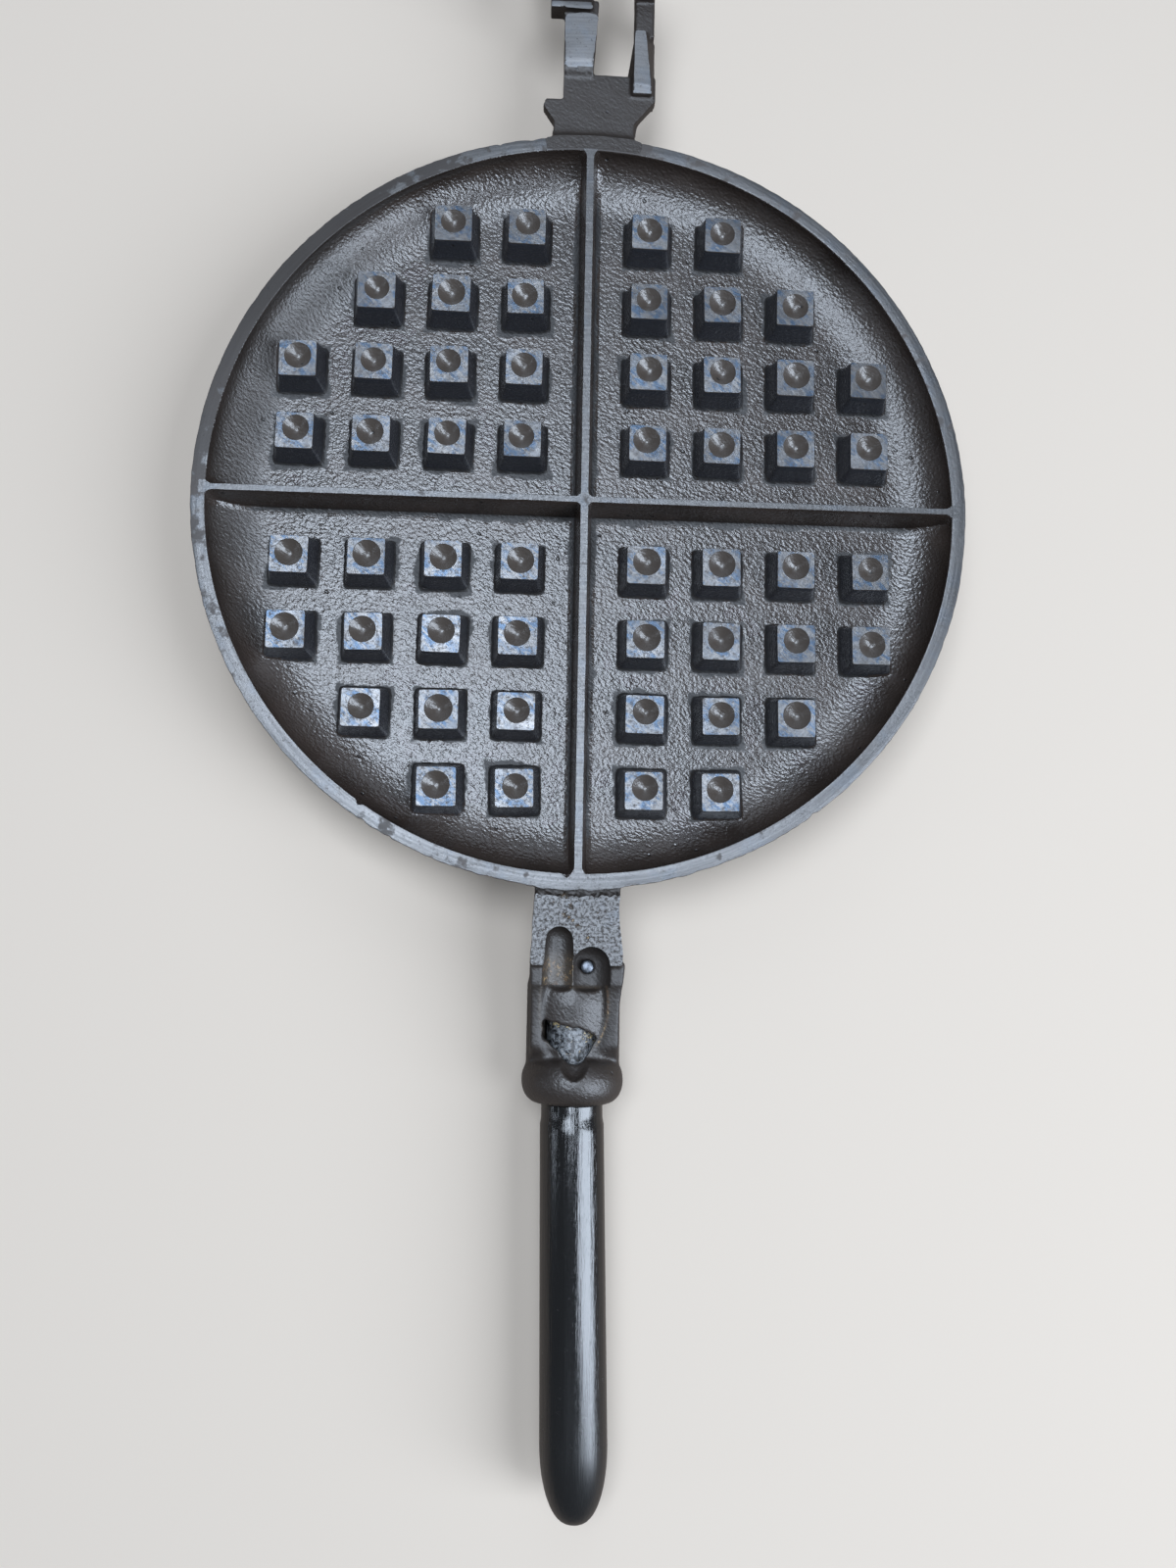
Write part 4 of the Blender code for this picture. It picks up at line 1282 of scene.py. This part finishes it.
def make_iron(name, shine, skin_depth):
    """Cast iron: a dark oiled skin with cast grain, and paler blue-grey where it was ground."""
    material, shader, place, ground, stain, dull_and_shade, dust, side = new_material(
        name, "ground", "stain", "dull_and_shade", "dust", "side")
    skin = placed(cast_grain, place, Size=0.64 * MM)
    rings = placed(turning_marks, place, Middle=-plate_y, Pitch=0.28 * MM)
    rust = placed(rust_and_dust, place, Size=0.9 * MM, Amount=dust)
    # Soot and painted shade where the pegs and ribs meet the floor.
    soot_and_shade = placed(soot_and_shade_at_feet, place, Middle=-plate_y)["Mask"]
    worked = ground > 0.5
    turned = spread(ground, filed_finish, turned_finish)
    on_peg, on_neck, on_land, drilled = (
        maths("COMPARE", ground, finish, 0.05)
        for finish in (peg_top_finish, filed_finish, land_finish, drilled_finish))
    speckle = grain(place, 0.8 * MM, 4.0, 0.8)
    clean = spread(speckle + larger(turned, on_land) * 0.12, 0.41, 0.54)
    unstained = spread(grain(place, 4.5 * MM, 5.0, 0.6) + stain * 0.26, 0.65, 0.72, 1.0, 0.1)
    bare = worked * clean * unstained * (1 - rust["Mask"])

    tone = spread(skin["Mottle"], 0.35, 0.65)
    # The dark skin: browner in the drilled dimples, a cooler painted shade on the pegs' steep sides,
    # darker where the skin is duller, which on the bowl's wall and in the neck's hollows is painted
    # shade, browner with dust, and near black in the pits and in the soot and painted shade at the
    # feet of the pegs and ribs.
    dark = layered(
        mixed(tone, (0.020, 0.014, 0.011, 1), (0.036, 0.026, 0.021, 1)),
        (drilled, (0.052, 0.041, 0.033, 1)), (side, (0.019, 0.020, 0.024, 1)),
        (dull_and_shade, (0.017, 0.012, 0.009, 1)), (dust, (0.062, 0.045, 0.028, 1)),
        (larger(skin["Pits"], soot_and_shade), (0.005, 0.004, 0.004, 1)))
    streak = spread(rings["Streaks"], 0.36, 0.64) * spread(turned, 0, 1, 0.4, 1.0)
    blued = spread(grain(place, 7 * MM, 3.0, 0.6), 0.52, 0.66)
    scratches = spread(grain(swept(place, -40, 3), 1.2 * MM, 5.0, 0.75, 0.6), 0.44, 0.54)
    heated = scratches * spread(grain(place, 4 * MM), 0.42, 0.56, 0.2, 1.0) * on_peg
    pale = layered(
        mixed(streak, (0.32, 0.325, 0.333, 1), (0.50, 0.505, 0.515, 1)),
        (blued * 0.15, (0.34, 0.46, 0.62, 1)), (heated, (0.15, 0.23, 0.35, 1)))
    by_peg = spread(grain(place, 20 * MM, 1.0), 0.3, 0.7)
    peg_shade = mixed(by_peg, (0.36, 0.35, 0.34, 1), (0.64, 0.62, 0.60, 1))
    # How bright the ground metal is on each part: the peg tops vary from place to place and the
    # neck's filed top is lighter; the hinge lands are lighter still, which is painted light.
    pale_by_finish_and_light = layered(
        (0.345, 0.34, 0.335, 1), (on_peg, peg_shade), (on_neck, (0.56, 0.55, 0.54, 1)),
        (on_land, (0.60, 0.59, 0.58, 1)))
    pale = mixed(1.0, pale, pale_by_finish_and_light, "MULTIPLY")
    coarse = larger(larger(rust["Mask"], soot_and_shade), dull_and_shade * 0.8)

    cast = bumped(skin["Height"], skin_depth, spread(ground, 0, drilled_finish, 1.0, 0.5)
                  * spread(ground, 0.5, 0.6, 1.0, 0.2))
    scored = bumped(rings["Height"], 0.05 * MM, turned * 0.7, Normal=cast)
    feed(shader, {
        "Base Color": layered(dark, (bare, pale), (rust["Mask"], rust["Colour"])),
        "Metallic": bare * 0.9, "IOR": shine,
        "Roughness": (spread(bare, 0, 1, 0.20, 0.32) + skin["Mottle"] * 0.14 + drilled * 0.07
                      + (worked - bare) * 0.4 + coarse * 0.35),
        "Normal": bumped(speckle, 0.11 * MM, worked * 0.7, Normal=scored)})
    return material


def make_lacquer():
    """Black gloss lacquer on turned wood, dragged by the brush; the tenon's paint is scraped and
    dusty."""
    material, shader, place, tenon, dust = new_material("black lacquered wood", "tenon", "dust")
    drawn = node("ShaderNodeMapping", {"Vector": place, "Scale": (1, 0.04, 1)})
    drag = grain(drawn, MM, 4.0, 0.7)
    along = spread(abs(parts_of(place)[1]), -mouth_y, grip_length - mouth_y)
    worn = spread(grain(place, 1.6 * MM, 5.0, 0.75), 0.62, 0.72)
    scraped = grain(place, 1.3 * MM, 4.0, 0.7)
    flecks = tenon * spread(grain(place, 0.8 * MM, 3.0, 0.7) + dust * 0.3, 0.66, 0.72)
    raw = mixed(spread(scraped, 0.45, 0.56), (0.005, 0.005, 0.006, 1), (0.17, 0.18, 0.19, 1))
    brushed = bumped(drag, 0.16 * MM, 0.8)
    feed(shader, {
        "Base Color": layered(mixed(worn, (0.006, 0.006, 0.006, 1), (0.015, 0.014, 0.014, 1)),
                              (tenon, raw), (flecks, (0.50, 0.39, 0.20, 1))),
        "Roughness": (spread(drag + worn, 0.3, 1.6, 0.08, 0.26) + along * along * 0.26
                      + tenon * 0.22),
        "IOR": 1.7, "Normal": bumped(scraped, 0.5 * MM, tenon * 0.8, Normal=brushed)})
    return material


def make_steel():
    material, shader, place = new_material("worn steel")
    wear = grain(place, 0.6 * MM, 4.0, 0.7)
    feed(shader, {
        "Base Color": mixed(spread(wear, 0.35, 0.65), (0.10, 0.11, 0.13, 1), (0.22, 0.24, 0.27, 1)),
        "Metallic": 1.0, "Roughness": spread(wear, 0.3, 0.7, 0.36, 0.5),
        "Normal": bumped(wear, 0.08 * MM, 0.3)})
    return material


# ---- Putting it together ----

def place_twice(name, mesh, material, node_name):
    """The piece on the lower paddle, and its copy turned half round on the upper one."""
    mesh.materials.clear()
    mesh.materials.append(material)
    mesh.shade_smooth()
    mesh.set_sharp_from_angle(angle=smooth_angle)
    for side, turn in (("lower", 0), ("upper", pi)):
        own = mesh.copy()
        own.transform(Matrix.Translation((0, 0, hinge_height)) @ Matrix.Rotation(turn, 4, "Z"))
        item = in_scene(side + "_" + name, own)
        own.name = item.name
        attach(item, side)
        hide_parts(side + "_" + node_name)
    bpy.data.meshes.remove(mesh)


def make_camera():
    """The photo's own camera, fitted to the rim, the ribs and the peg tops."""
    lens = bpy.data.cameras.new("photo_camera")
    lens.sensor_width = 36
    lens.lens = camera_focal * lens.sensor_width / 1600
    lens.clip_start = 0.01
    camera = in_scene("photo_camera", lens)
    turn = Matrix.Identity(3)
    for angle, axis in zip(camera_turn, "XYZ"):
        turn = turn @ Matrix.Rotation(angle, 3, axis)
    camera.matrix_world = Matrix.Translation(camera_place) @ turn.transposed().to_4x4()
    bpy.context.scene.camera = camera


def make_lamp(name, place, aim, size, power):
    lamp = bpy.data.lights.new(name, "AREA")
    lamp.shape = "RECTANGLE"
    lamp.size, lamp.size_y = size
    lamp.energy = power
    lamp.color = daylight
    item = in_scene(name, lamp)
    item.location = place
    item.rotation_euler = (Vector(aim) - Vector(place)).to_track_quat("-Z", "Y").to_euler()


def make_stage():
    """A plain pale floor, a dim soft room and a few broad lamps. The camera sees the room, and
    the floor where it is far away, as the same plain backdrop."""
    body = bmesh.new()
    bmesh.ops.create_grid(body, x_segments=1, y_segments=1, size=3)
    floor = in_scene("floor", as_mesh(body, "floor"))
    material, shader, place = new_material("pale floor")
    seen = add(material.node_tree, "ShaderNodeLightPath", "Is Camera Ray")
    away = node("ShaderNodeVectorMath", {0: place}, "Value", operation="LENGTH")
    far = seen * spread(away, 0.55, 1.2)
    near_colour = mixed(seen, (0.27, 0.22, 0.18, 1), (0.57, 0.497, 0.42, 1))
    feed(shader, {
        "Base Color": mixed(far, near_colour, (0, 0, 0, 1)), "Roughness": 0.8,
        "Specular IOR Level": 0, "Emission Color": mixed(far, (0, 0, 0, 1), backdrop),
        "Emission Strength": 1})
    floor.data.materials.append(material)
    world = bpy.data.worlds.new("room")
    bpy.context.scene.world = world
    world.use_nodes = True
    seen = add(world.node_tree, "ShaderNodeLightPath", "Is Camera Ray")
    feed(world.node_tree.nodes["Background"].inputs, {
        "Color": mixed(seen, (0.112, 0.123, 0.14, 1), backdrop), "Strength": 1})
    make_lamp("window", (0.79, -0.55, 0.72), (0, -0.33, 0), (0.5, 0.98), 15)
    make_lamp("ceiling", (-0.20, -0.06, 1.25), (-0.05, -0.14, 0), (0.80, 0.63), 15.4)
    make_lamp("far_window", (-1.3, -0.5, 0.5), (0, -0.3, 0), (0.25, 0.12), 0.5)
    make_lamp("back_wall", (0.05, 1.0, 1.0), (0, -0.1, 0), (1.2, 0.7), 2.3)


bpy.context.scene.view_settings.view_transform = "Standard"
make_camera()
make_stage()
cast_grain = cast_grain_group()
turning_marks = turning_marks_group()
rust_and_dust = rust_group()
soot_and_shade_at_feet = peg_soot_and_shade_group()
iron = make_iron("seasoned cast iron", 1.8, 0.22 * MM)
dry_iron = make_iron("dry cast iron", 1.62, 0.14 * MM)
held_iron = make_iron("cast iron worn by the hand", 1.7, 0.14 * MM)
for name, make, material in (
        ("plate", make_plate, iron), ("ribs", make_ribs, iron), ("pegs", make_pegs, iron),
        ("hinge_fingers", make_hinge, dry_iron), ("neck_and_socket", make_neck, held_iron)):
    place_twice(name, make(), material, "paddle")
place_twice("turned_handle", make_handle(), make_lacquer(), "handle")
place_twice("steel_pin", make_pin(), make_steel(), "handle_pin")
